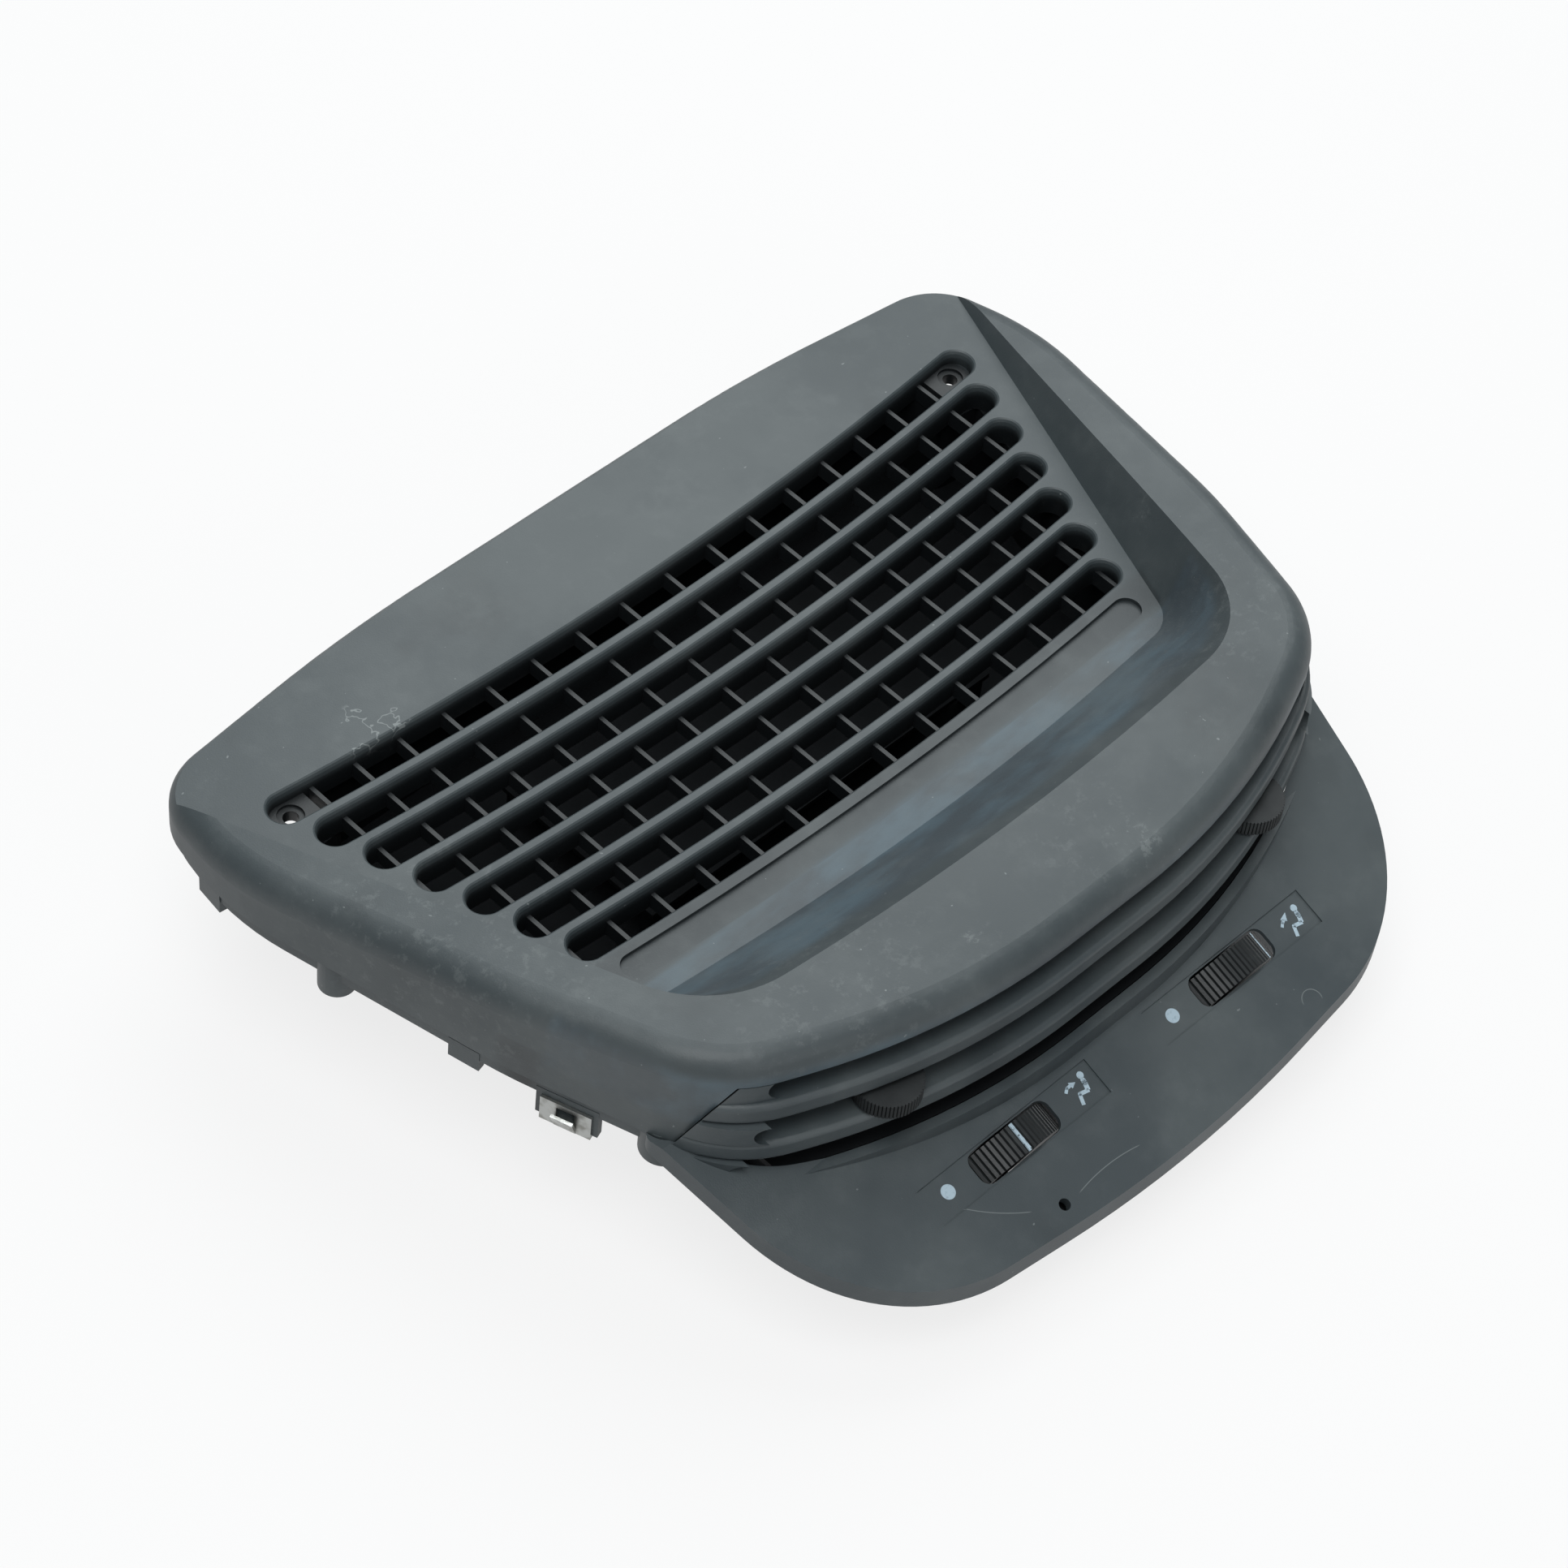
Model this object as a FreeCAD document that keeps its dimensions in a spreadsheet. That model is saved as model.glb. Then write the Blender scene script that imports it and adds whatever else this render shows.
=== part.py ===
import FreeCAD, Part
import math
import os
import re

import Sketcher
from FreeCAD import Placement, Rotation, Vector

# Dashboard centre air vent pod: a hood with a bowed demister grille over an air
# box, and two front outlets behind fixed bars, each with pivoted vanes, a knob,
# a shutter and a thumbwheel.
# Frame: X across the dashboard, -Y towards the seats, +Z up, normal to the grille.
# Most sizes below are measured from the datum, the middle of the rearmost slot on
# the grille face. The finished parts stand with the inlet collars on Z = 0.

SIZES = {
    # plan of the hood
    "rear_reach": 36.5,
    "rear_sweep": 6.5,
    "rear_half_width": 147.0,
    "waist_half_width": 128.0,
    "front_half_width": 110.0,
    "front_corner_reach": 140.0,
    "lip_reach": 164.0,
    "rear_corner_radius": 20.0,
    "front_corner_radius": 38.0,
    "lip_bow_radius": 195.0,
    # section of the hood
    "hood_skirt_drop": 11.0,
    "rear_crest_height": 2.5,
    "front_crest_height": 21.0,
    "crest_reach": 146.0,
    "lip_height": 13.0,
    "crest_rounding": 7.0,
    "wall": 2.8,
    # recess round the grille
    "recess_side_lean": 0.375,
    "recess_half_width": 133.3,
    "recess_reach": 103.0,
    "recess_bow": 8.0,
    "recess_corner_radius": 11.0,
    "recess_flare": 12.0,
    "recess_front_flare": 27.5,
    "recess_top": 24.0,
    # grille
    "slot_count": 7,
    "slot_pitch": 13.3,
    "slot_width": 9.0,
    "slot_half_length": 120.5,
    "slot_taper": 4.5,
    "slot_sag": 6.5,
    "grille_depth": 9.0,
    "blind_slot_depth": 1.2,
    "web_count": 8,
    "web_thickness": 1.2,
    "web_first": 8.0,
    "web_step": 15.9,
    "web_step_loss": 0.2,
    "web_sink": 4.0,
    "boss_plate_length": 9.5,
    "boss_plate_sink": 4.5,
    "screw_hole_radius": 2.1,
    "screw_spacing": 238.0,
    "screw_recess_radius": 3.6,
    "screw_recess_depth": 0.8,
    # skirt that drops into the dashboard opening
    "skirt_inset": 2.2,
    "skirt_height": 6.5,
    "skirt_wall": 2.0,
    # front face
    "bar_height": 6.5,
    "bar_depth": 8.5,
    "bar_step": 2.5,
    "bar_rounding": 1.5,
    "face_slot_a_half": 97.0,
    "face_slot_growth": 4.5,
    "seam_top_reach": 141.0,
    "seam_bottom_reach": 131.0,
    "joint_gap": 0.3,
    # apron
    "apron_slope_deg": 19.6,
    "apron_datum_reach": 178.5,
    "apron_datum_drop": 28.0,
    "apron_reach": 206.5,
    "front_edge_reach": 204.157,
    "apron_rear_half_width": 117.0,
    "apron_rear_reach": 124.0,
    "apron_corner_radius": 55.0,
    "apron_bow": 7.0,
    "apron_thickness": 3.0,
    "apron_edge_drop": 6.0,
    "label_length": 60.0,
    "label_width": 10.6,
    "label_depth": 0.5,
    "label_middle": 40.6,
    "window_length": 28.0,
    "window_width": 9.4,
    "window_corner_radius": 3.0,
    "window_lip": 1.8,
    "sensor_hole_radius": 1.6,
    "sensor_hole_x": 41.2,
    "sensor_hole_reach": 196.8,
    # thumbwheels
    "wheel_radius": 19.0,
    "wheel_width": 8.2,
    "wheel_proud": 2.3,
    "wheel_teeth": 76,
    "wheel_tooth_depth": 0.6,
    "wheel_bore": 2.0,
    "shaft_clearance": 0.05,
    "crank_pin_throw": 9.0,
    "crank_pin_radius": 1.5,
    "crank_pin_length": 8.1,
    "wheel_swing": 38.0,
    # vane boxes
    "channel_inner_x": 11.0,
    "channel_outer_x": 93.0,
    "channel_top": 10.5,
    "channel_floor_drop": 19.5,
    "duct_front_reach": 131.0,
    "duct_rear_reach": 106.0,
    "duct_outer_x": 78.0,
    "box_front_inset": 9.5,
    "box_wall": 2.0,
    "collar_drop": 58.0,
    "vane_count": 5,
    "vane_pitch": 16.4,
    "vane_first": 17.0,
    "vane_chord": 15.0,
    "vane_thickness": 1.6,
    "vane_pivot_reach": 134.5,
    "vane_end_gap": 0.5,
    "pivot_radius": 1.5,
    "vane_arm": 6.0,
    "vane_nose": 11.4,
    "nose_pin_radius": 1.0,
    "link_pin_radius": 1.2,
    "link_shelf_drop": 16.0,
    "link_thickness": 1.6,
    "link_width": 6.5,
    "link_slot_width": 3.0,
    "link_slot_length": 4.1,
    # knobs
    "knob_pivot_reach": 156.0,
    "knob_radius": 9.0,
    "knob_thickness": 4.6,
    "knob_teeth": 60,
    "knob_tooth_depth": 0.4,
    "knob_fork_reach": 13.2,
    "knob_fork_width": 3.0,
    # shutters
    "shutter_thickness": 2.0,
    "shutter_gap": 1.2,
    "shutter_seal_thickness": 1.5,
    "shutter_seal_width": 3.0,
    "shutter_drop": 39.7,
    "shutter_half_chord": 10.9,
    "shutter_closed_tilt": 12.4,
    "shutter_swing": 33.1,
    "rocker_pivot_reach": 142.6,
    "rocker_pivot_drop": 39.7,
    "rocker_shaft_radius": 2.5,
    "rocker_rear_arm": 16.9,
    "rocker_swing": 18.0,
    "fork_along": 14.0,
    "fork_thickness": 2.6,
    "fork_gap": 6.2,
    # rear chamber
    "chamber_rear_reach": 6.5,
    "chamber_half_width": 111.0,
    "chamber_front_half_width": 99.5,
    "chamber_floor_drop": 36.0,
    "inlet_half_width": 55.0,
    "inlet_length": 42.0,
    "inlet_middle": 44.0,
    "flange_thickness": 3.0,
    "baffle_rise": 11.0,
    "baffle_overlap": 7.0,
    "baffle_thickness": 1.6,
    "gasket_height": 4.0,
    "gasket_width": 5.0,
    # fasteners
    "clip_width": 14.0,
    "clip_thickness": 0.8,
    "clip_height": 8.6,
    "clip_reach": 103.0,
    "rear_tab_reach": -3.0,
    "plain_boss_reach": 36.0,
    "middle_tab_reach": 75.0,
    "bush_reach": 126.0,
    "bush_radius": 4.2,
    "bush_bore": 2.6,
    "bush_length": 5.0,
    "case_screw_radius": 1.75,
    "case_screw_head": 3.5,
    "case_screw_length": 8.3,
}

doc = FreeCAD.newDocument("air_vent")
sheet = doc.addObject("Spreadsheet::Sheet", "Sizes")
for row, (alias, value) in enumerate(SIZES.items(), start=1):
    sheet.set(f"A{row}", alias)
    sheet.set(f"B{row}", str(value))
    sheet.setAlias(f"B{row}", alias)
doc.recompute()


def size(alias):
    return float(getattr(sheet, alias))


nodes = {}


def corner_sides(corners, index):
    """Directions from a corner to its two neighbours, and half the angle between them."""
    corner = Vector(*corners[index][:2], 0)
    before = Vector(*corners[index - 1][:2], 0) - corner
    after = Vector(*corners[(index + 1) % len(corners)][:2], 0) - corner
    before.normalize()
    after.normalize()
    return before, after, before.getAngle(after) / 2


def rounding_shares(corners):
    """Share of each corner's radius that its two sides have room for; 1 unless a side is short."""
    reaches = [corner[2] / math.tan(corner_sides(corners, index)[2]) for index, corner in enumerate(corners)]
    shares = [1.0] * len(corners)
    for index, (x, y, _) in enumerate(corners):
        following = (index + 1) % len(corners)
        run = math.dist((x, y), corners[following][:2])
        share = run / max(run, reaches[index] + reaches[following])
        shares[index] = min(shares[index], share)
        shares[following] = min(shares[following], share)
    return shares


def round_outline(corners, height):
    """Closed outline of straight runs and tangent arcs; corners are (x, y, radius)."""
    edges = []
    ends = []
    count = len(corners)
    shares = rounding_shares(corners)
    for index, (x, y, radius) in enumerate(corners):
        before, after, half = corner_sides(corners, index)
        radius *= shares[index]
        reach = radius / math.tan(half)
        middle = (before + after)
        middle.normalize()
        apex = Vector(x, y, 0) + middle * (radius / math.sin(half) - radius)
        ends.append((Vector(x, y, 0) + before * reach, apex, Vector(x, y, 0) + after * reach))
    lift = Vector(0, 0, height)
    for index, (start, apex, stop) in enumerate(ends):
        if start.distanceToPoint(stop) > 1e-6:
            edges.append(Part.Arc(start + lift, apex + lift, stop + lift).toShape())
        following = ends[(index + 1) % count][0]
        if stop.distanceToPoint(following) > 1e-6:
            edges.append(Part.LineSegment(stop + lift, following + lift).toShape())
    return Part.Wire(edges)


def both_sides(right_half):
    """Corners of the right half, rear to front, made into a closed symmetric outline."""
    left_half = [(-x, y, radius) for x, y, radius in reversed(right_half) if x > 0]
    return right_half + left_half


def prism(wire, height):
    return Part.Face(wire).extrude(Vector(0, 0, height))


def side_profile(points, half_width):
    """Solid with the given (y, z) outline, as wide as the part."""
    wire = Part.makePolygon([Vector(-half_width, y, z) for y, z in points + points[:1]])
    return Part.Face(wire).extrude(Vector(2 * half_width, 0, 0))


WIDE = 2 * size("rear_half_width")


# Plan outlines

def hood_outline(grow, height):
    """Plan of the hood at one level, offset outwards by grow."""
    outline = round_outline(both_sides([
        (72.0, size("rear_reach"), 420.0),
        (size("rear_half_width") - 6.0, size("rear_reach") - size("rear_sweep") - 2.0,
         size("rear_corner_radius")),
        (size("rear_half_width"), -8.0, 80.0),
        (size("waist_half_width"), -88.0, 160.0),
        (size("front_half_width"), -size("front_corner_reach"), size("front_corner_radius")),
        (52.0, -size("lip_reach"), size("lip_bow_radius")),
    ]), height)
    return outline.makeOffset2D(grow) if grow else outline


def recess_corners(flare, front_flare, corner):
    rear = 60.0
    lean = size("recess_side_lean")
    front = size("recess_reach") + front_flare
    side = size("recess_half_width") + flare
    return both_sides([
        (side + lean * rear, rear, 0.0),
        (side - lean * front, -front, corner),
        (0.0, -front - size("recess_bow"), 850.0),
    ])


def crest_points(sink):
    """Side view of the hood top, from behind the rear edge to past the front lip."""
    rear = size("rear_reach")
    low = size("rear_crest_height")
    high = size("front_crest_height")
    crest = size("crest_reach")
    lip = size("lip_reach")
    return [(rear + 30, low - 3.0 - sink), (rear - 10, low - 1.0 - sink), (0.0, low + 2.0 - sink),
            (-60.0, 0.58 * high + 0.5 - sink), (-110.0, 0.9 * high - sink), (-crest + 10, high - sink),
            (-crest - 6, high - 0.3 - sink), (-lip - 30, high - 12 - sink)]


def below_crest(sink, bottom):
    """Solid under the crest curve."""
    points = [Vector(-WIDE, y, z) for y, z in crest_points(sink)]
    curve = Part.BSplineCurve()
    curve.interpolate(points)
    first = points[0]
    last = points[-1]
    down = [Vector(last.x, last.y, bottom), Vector(first.x, first.y, bottom)]
    wire = Part.Wire([curve.toShape(), Part.LineSegment(last, down[0]).toShape(),
                      Part.LineSegment(down[0], down[1]).toShape(), Part.LineSegment(down[1], first).toShape()])
    return Part.Face(wire).extrude(Vector(2 * WIDE, 0, 0))


def bowed_slot(half_length, middle_y, width, bottom, height):
    """Round-ended slot whose ends sweep rearwards by the sag."""
    sag = size("slot_sag") * (half_length / size("slot_half_length")) ** 2
    radius = (half_length ** 2 + sag ** 2) / (2 * sag)
    centre = Vector(0, middle_y - sag + radius, bottom)
    angle = math.asin(half_length / radius)
    edges = []
    ends = []
    for offset in (width / 2, -width / 2):
        points = [centre + Vector(math.sin(a) * (radius + offset), -math.cos(a) * (radius + offset), 0)
                  for a in (-angle, 0, angle)]
        edges.append(Part.Arc(*points).toShape())
        ends.append(points)
    for side, end in ((-1, 0), (1, 2)):
        direction = Vector(math.cos(angle) * side, math.sin(angle), 0)
        tip = (ends[0][end] + ends[1][end]) * 0.5 + direction * (width / 2)
        edges.append(Part.Arc(ends[0][end], tip, ends[1][end]).toShape())
    wire = Part.Wire(Part.__sortEdges__(edges))
    return prism(wire, height)


def slot_middle(row):
    return -size("slot_pitch") * row


def slot_half(row):
    return size("slot_half_length") - size("slot_taper") * row


# Hood with grille

def grille_block():
    """Deep slab that the slats are cut from."""
    margin = 3.0
    front = slot_middle(size("slot_count") - 1) - size("slot_width") / 2 - margin
    rear = size("slot_width") / 2 + margin
    corners = both_sides([
        (size("slot_half_length") + size("slot_width") / 2 + margin, rear, 6.0),
        (slot_half(size("slot_count") - 1) + size("slot_width") / 2 + margin, front, 6.0),
        (0.0, front - size("slot_sag"), 700.0),
    ])
    return prism(round_outline(corners, -size("grille_depth")), size("grille_depth"))


def web_positions():
    ahead = [size("web_first") + size("web_step") * n - size("web_step_loss") * n * n
             for n in range(int(size("web_count")))]
    return [-x for x in reversed(ahead)] + ahead


def slot_cutters():
    """One cutter per slot, already broken where the webs cross it."""
    depth = size("grille_depth")
    rows = range(int(size("slot_count")))
    cutters = []
    webs = [Part.makeBox(size("web_thickness"), 200, depth, Vector(x - size("web_thickness") / 2, -150, -depth))
            for x in web_positions()]
    web_set = Part.makeCompound(webs)
    for row in rows:
        slot = bowed_slot(slot_half(row), slot_middle(row), size("slot_width"), -depth - 1, depth + 2)
        low = bowed_slot(slot_half(row), slot_middle(row), size("slot_width"), -depth - 1,
                         depth + 1 - size("web_sink"))
        cutters.append(slot.cut(low.common(web_set)))
    return cutters


def slot_flare(row):
    """Rounds the tops of the slats along one slot."""
    sections = []
    for depth, extra in ((-2.2, 0.0), (-1.0, 0.5), (-0.3, 1.2), (0.05, 2.2)):
        slot = bowed_slot(slot_half(row), slot_middle(row), size("slot_width") + extra, depth, 1)
        sections.append(min(slot.Faces, key=lambda face: face.CenterOfMass.z).OuterWire)
    return Part.makeLoft(sections, True, True)


def boss_plates():
    """Recessed plates at both ends of the rearmost slot, each with a screw hole."""
    plates = []
    for side in (-1, 1):
        x = side * (size("slot_half_length") - size("boss_plate_length") / 2 + 3.0)
        block = Part.makeBox(size("boss_plate_length") + 4, 14, size("grille_depth") - size("boss_plate_sink"),
                             Vector(x - size("boss_plate_length") / 2 - 2, -7, -size("grille_depth")))
        plates.append(block.common(bowed_slot(size("slot_half_length") + 0.5, 0, size("slot_width") + 1,
                                              -size("grille_depth"), size("grille_depth"))))
    return plates


def screw_holes():
    holes = []
    for side in (-1, 1):
        at = Vector(side * size("screw_spacing") / 2, 0, -30)
        holes.append(Part.makeCylinder(size("screw_hole_radius"), 60, at))
        ring = Vector(at.x, 0, -size("boss_plate_sink") - size("screw_recess_depth"))
        holes.append(Part.makeCylinder(size("screw_recess_radius"), 5, ring))
    return holes


def front_zone(clearance):
    """Everything below the lip and ahead of the seam with the front bezel."""
    top = size("lip_height") + clearance
    back_top = -size("seam_top_reach") + clearance
    back_low = -size("seam_bottom_reach") + clearance
    low = -size("hood_skirt_drop")
    ahead = -size("lip_reach") - 120
    return side_profile([(ahead, top), (back_top, top), (back_low, low), (back_low, -200), (ahead, -200)], WIDE)


def depression(grow):
    """Hollow above the grille, open to the rear; grown for the underside of its skin."""
    top = size("recess_top")
    slope = size("recess_flare") / top
    front_slope = size("recess_front_flare") / top
    sections = []
    for level in (-grow, top):
        rise = level + grow
        sections.append(round_outline(recess_corners(grow + slope * rise, grow + front_slope * rise,
                                                     size("recess_corner_radius") + grow + rise), level))
    return Part.makeLoft(sections, True, True)


def hood_shell():
    low = -size("hood_skirt_drop")
    wall = size("wall")
    solid = prism(hood_outline(0.0, low), 60).common(below_crest(0.0, low - 1)).Solids[0]
    top_edges = [edge for edge in solid.Edges if edge.BoundBox.ZMin > low + 5]
    solid = solid.makeFillet(size("crest_rounding"), top_edges)
    inner = prism(hood_outline(-wall, low - 1), 60).common(below_crest(wall, low - 2))
    inner = inner.cut(depression(wall))
    return solid, inner


def skirt():
    low = -size("hood_skirt_drop") - size("skirt_height")
    inset = size("skirt_inset")
    outer = prism(hood_outline(-inset, low), size("skirt_height") + 3)
    inner = prism(hood_outline(-inset - size("skirt_wall"), low - 1), size("skirt_height") + 5)
    return outer.cut(inner)


def side_frame(side, reach):
    """Placement on the skirt's middle line at one distance forward, X pointing outwards."""
    low = -size("hood_skirt_drop") - size("skirt_height")
    line = hood_outline(-size("skirt_inset") - size("skirt_wall") / 2, low)
    points = [point for point in line.discretize(Distance=0.5) if point.x > 40]
    near = sorted(points, key=lambda point: abs(point.y + reach))[:2]
    along = near[0] - near[1] if near[0].y > near[1].y else near[1] - near[0]
    angle = math.degrees(math.atan2(along.x, along.y))
    turn = -angle if side > 0 else 180 + angle
    return Placement(Vector(side * near[0].x, near[0].y, low), Rotation(Vector(0, 0, 1), turn))


def set_at(place, *shapes):
    for shape in shapes:
        shape.Placement = place * shape.Placement
    return list(shapes)


def side_fixings():
    """Tabs and bosses below the skirt: two locating tabs, a plain boss, a clip tab and a bush boss a side."""
    made = []
    for side in (-1, 1):
        for reach in (size("rear_tab_reach"), size("middle_tab_reach")):
            made += set_at(side_frame(side, reach), Part.makeBox(2.4, 9, 7, Vector(-1.2, -4.5, -4)))
        made += set_at(side_frame(side, size("plain_boss_reach")), Part.makeCylinder(5.0, 13, Vector(-2.5, 0, -6)))
        made += set_at(side_frame(side, size("clip_reach")),
                       Part.makeBox(2.2, size("clip_width") + 3, 10, Vector(-1.1, -size("clip_width") / 2 - 1.5, -8)))
        boss = Part.makeCylinder(size("bush_radius") + 2.2, 12, Vector(-3.0, 0, -5))
        made += set_at(side_frame(side, size("bush_reach")), boss)
    return made


def bush_clearance():
    """Room in the front bezel for the bosses of the metal bushes."""
    room = []
    for side in (-1, 1):
        boss = Part.makeCylinder(size("bush_radius") + 2.2 + size("joint_gap"), 22, Vector(-3.0, 0, -10))
        room += set_at(side_frame(side, size("bush_reach")), boss)
    return room


def bush_pockets():
    pockets = []
    for side in (-1, 1):
        pocket = Part.makeCylinder(size("bush_radius"), size("bush_length"), Vector(-3.0, 0, -5.1))
        pockets += set_at(side_frame(side, size("bush_reach")), pocket)
    return pockets


def spring_clips():
    """Sheet-steel clips folded over the clip tabs, each with a square window and a sprung leaf."""
    leaves = []
    for side in (-1, 1):
        width = size("clip_width")
        thick = size("clip_thickness")
        gap = 1.15
        tall = size("clip_height")
        outer = Part.makeBox(thick, width, tall, Vector(gap, -width / 2, -8.9))
        outer = outer.cut(Part.makeBox(5, 5, 4.4, Vector(0, -2.5, -6.4)))
        inner = Part.makeBox(thick, width, tall, Vector(-gap - thick, -width / 2, -8.9))
        base = Part.makeBox(2 * (gap + thick), width, thick, Vector(-gap - thick, -width / 2, -8.9))
        leaf = Part.makeBox(thick, width - 8, 6.5, Vector(0, -width / 2 + 4, 0))
        leaf.Placement = Placement(Vector(gap, 0, -8.9), Rotation(Vector(0, 1, 0), 22))
        clip = outer.fuse([inner, base, leaf])
        leaves += set_at(side_frame(side, size("clip_reach")), clip)
    return leaves[0].fuse(leaves[1:])


def metal_bushes():
    rings = []
    for side in (-1, 1):
        length = size("bush_length") - 0.4
        ring = Part.makeCylinder(size("bush_radius") - 0.02, length, Vector(-3.0, 0, -5.3))
        ring = ring.cut(Part.makeCylinder(size("bush_bore"), 20, Vector(-3.0, 0, -10)))
        rings += set_at(side_frame(side, size("bush_reach")), ring)
    return rings[0].fuse(rings[1:])


def top_cover():
    solid, inner = hood_shell()
    body = solid.cut(depression(0.0)).cut(inner)
    body = body.fuse([grille_block(), skirt()])
    body = body.cut(slot_cutters())
    body = body.cut([slot_flare(row) for row in range(int(size("slot_count")))])
    body = body.fuse(boss_plates() + screw_bosses() + side_fixings())
    blind = bowed_slot(slot_half(size("slot_count")), slot_middle(size("slot_count")) + 0.5,
                       size("slot_width") - 1.0, -size("blind_slot_depth"), 5)
    body = body.cut(screw_holes() + bush_pockets() + [blind, front_zone(0.0)])
    return body.removeSplitter()


# Front bezel: end walls, two bars, sill and apron

def band_outline(step, grow, height):
    """Plan of one band of the front face, stepped forward along the side lines."""
    slide = (size("waist_half_width") - size("front_half_width")) / (size("front_corner_reach") - 88.0)
    outline = round_outline(both_sides([
        (size("waist_half_width"), -88.0, 0.0),
        (size("front_half_width") - slide * step, -size("front_corner_reach") - step,
         size("front_corner_radius")),
        (52.0, -size("lip_reach") - step, size("lip_bow_radius")),
    ]), height)
    return outline.makeOffset2D(grow) if grow else outline


def face_levels():
    """Tops of slot A, bar 1, slot B, bar 2, slot C and the sill."""
    top = size("lip_height") - size("joint_gap")
    return [top] + [size("lip_height") - size("bar_height") * n for n in range(1, 6)]


def band(step, top, bottom, depth):
    outer = prism(band_outline(step, 0.0, bottom), top - bottom)
    return outer.cut(prism(band_outline(step, -depth, bottom - 1), top - bottom + 2))


def rounded_bar(step, top):
    """Fixed bar that follows the bow of the front face, with soft front edges."""
    height = size("bar_height")
    outer = prism(band_outline(step, 0.0, top - height), height)
    edges = [edge for edge in outer.Edges if edge.BoundBox.ZLength < 0.01 and edge.BoundBox.YMin < -89]
    outer = outer.makeFillet(size("bar_rounding"), edges)
    inner = band_outline(step, -size("bar_depth"), top - height - 1)
    return outer.cut(prism(inner, height + 2))


def face_slot(half_length, top, bottom):
    """Round-ended cut through the front wall, seen square from the front."""
    height = top - bottom
    radius = height / 2
    reach = 300
    middle = Part.makeBox(2 * (half_length - radius), reach, height,
                          Vector(-half_length + radius, -reach - 100, bottom))
    ends = [Part.makeCylinder(radius, reach, Vector(side * (half_length - radius), -100, bottom + radius),
                              Vector(0, -1, 0)) for side in (-1, 1)]
    return middle.fuse(ends)


def apron_place(across=0.0, up_slope=0.0, lift=0.0):
    """Placement on the apron face: X across, Y up the slope, Z out of the face."""
    angle = size("apron_slope_deg")
    turn = Rotation(Vector(1, 0, 0), angle)
    base = Vector(0, -size("apron_datum_reach"), -size("apron_datum_drop"))
    return Placement(base + turn.multVec(Vector(across, up_slope, lift)), turn)


def apron_slab(top, bottom):
    """Slab parallel to the apron face between two lifts."""
    slab = Part.makeBox(400, 400, top - bottom, Vector(-200, -200, bottom))
    slab.Placement = apron_place()
    return slab


def apron_outline(grow, height):
    outline = round_outline(both_sides([
        (size("apron_rear_half_width"), -size("apron_rear_reach"), 3.0),
        (size("apron_rear_half_width") - 13.0, -size("apron_reach") + size("apron_bow") + 4.0,
         size("apron_corner_radius")),
        (0.0, -size("apron_reach"), 420.0),
    ]), height)
    return outline.makeOffset2D(grow) if grow else outline


def rounded_block(length, width, height):
    """Upright round-cornered block centred on the origin."""
    radius = size("window_corner_radius")
    half = Vector(length / 2, width / 2, 0)
    block = Part.makeBox(length, width, height, Vector(-half.x, -half.y, 0))
    upright = [edge for edge in block.Edges if edge.BoundBox.ZLength > height / 2]
    return block.makeFillet(radius, upright)


def apron():
    low = -80.0
    tall = 120.0
    steps = 3 * size("bar_step")
    plan = prism(apron_outline(0.0, low), tall)
    inside = prism(band_outline(steps, -size("wall"), low - 1), tall + 2)
    plate = plan.common(apron_slab(0.0, -size("apron_thickness"))).Solids[0]
    rim = plan.cut(prism(apron_outline(-2.4, low - 1), tall + 2))
    rim = rim.common(apron_slab(-0.5, -size("apron_edge_drop")))
    body = plate.fuse(rim).cut(inside)
    cutters = []
    for side in (-1, 1):
        label = Part.makeBox(size("label_length"), size("label_width"), 5,
                             Vector(-size("label_length") / 2, -size("label_width") / 2, 0))
        label.Placement = apron_place(side * size("label_middle"), 0, -size("label_depth"))
        window = rounded_block(size("window_length"), size("window_width"), 20)
        window.Placement = apron_place(side * size("label_middle"), 0, -12)
        relief = rounded_block(size("window_length") + 4, size("window_width") + 1, 20)
        relief.Placement = apron_place(side * size("label_middle"), 0, -20 - size("window_lip"))
        cutters += [label, window, relief]
    hole = Part.makeCylinder(size("sensor_hole_radius"), 20, Vector(0, 0, -10))
    slope = math.cos(math.radians(size("apron_slope_deg")))
    hole.Placement = apron_place(-size("sensor_hole_x"),
                                 (size("apron_datum_reach") - size("sensor_hole_reach")) / slope)
    return body.cut(cutters + [hole])


def wheel_centre(side):
    """Placement at the middle of a thumbwheel, its Z pointing out of the apron."""
    return apron_place(side * size("label_middle"), 0, size("wheel_proud") - size("wheel_radius"))


def wheel_brackets():
    """Ears under the apron with the bearings of the thumbwheel shafts."""
    ears = []
    for side in (-1, 1):
        for along in (-1, 1):
            gap = size("wheel_width") / 2 + 0.6
            drop = size("wheel_radius") - size("wheel_proud")
            ear = Part.makeBox(12, 2, drop + 5, Vector(-6, gap if along > 0 else -gap - 2, -5))
            bore = Part.makeCylinder(size("wheel_bore") + size("shaft_clearance"), 40,
                                     Vector(0, -20, 0), Vector(0, 1, 0))
            ear = ear.cut(bore)
            ear.Placement = wheel_centre(side)
            ears.append(ear.common(apron_slab(-size("apron_thickness") + 0.5, -60)))
    return ears


def knob_sockets():
    """Bores in the two bars for the knob pivots."""
    bores = []
    top, bottom = face_levels()[2], face_levels()[3]
    for side in (-1, 1):
        at = Vector(side * knob_x(), -size("knob_pivot_reach"), bottom - 3)
        bores.append(Part.makeCylinder(size("pivot_radius") + size("shaft_clearance"), top - bottom + 6, at))
    return bores


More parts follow.
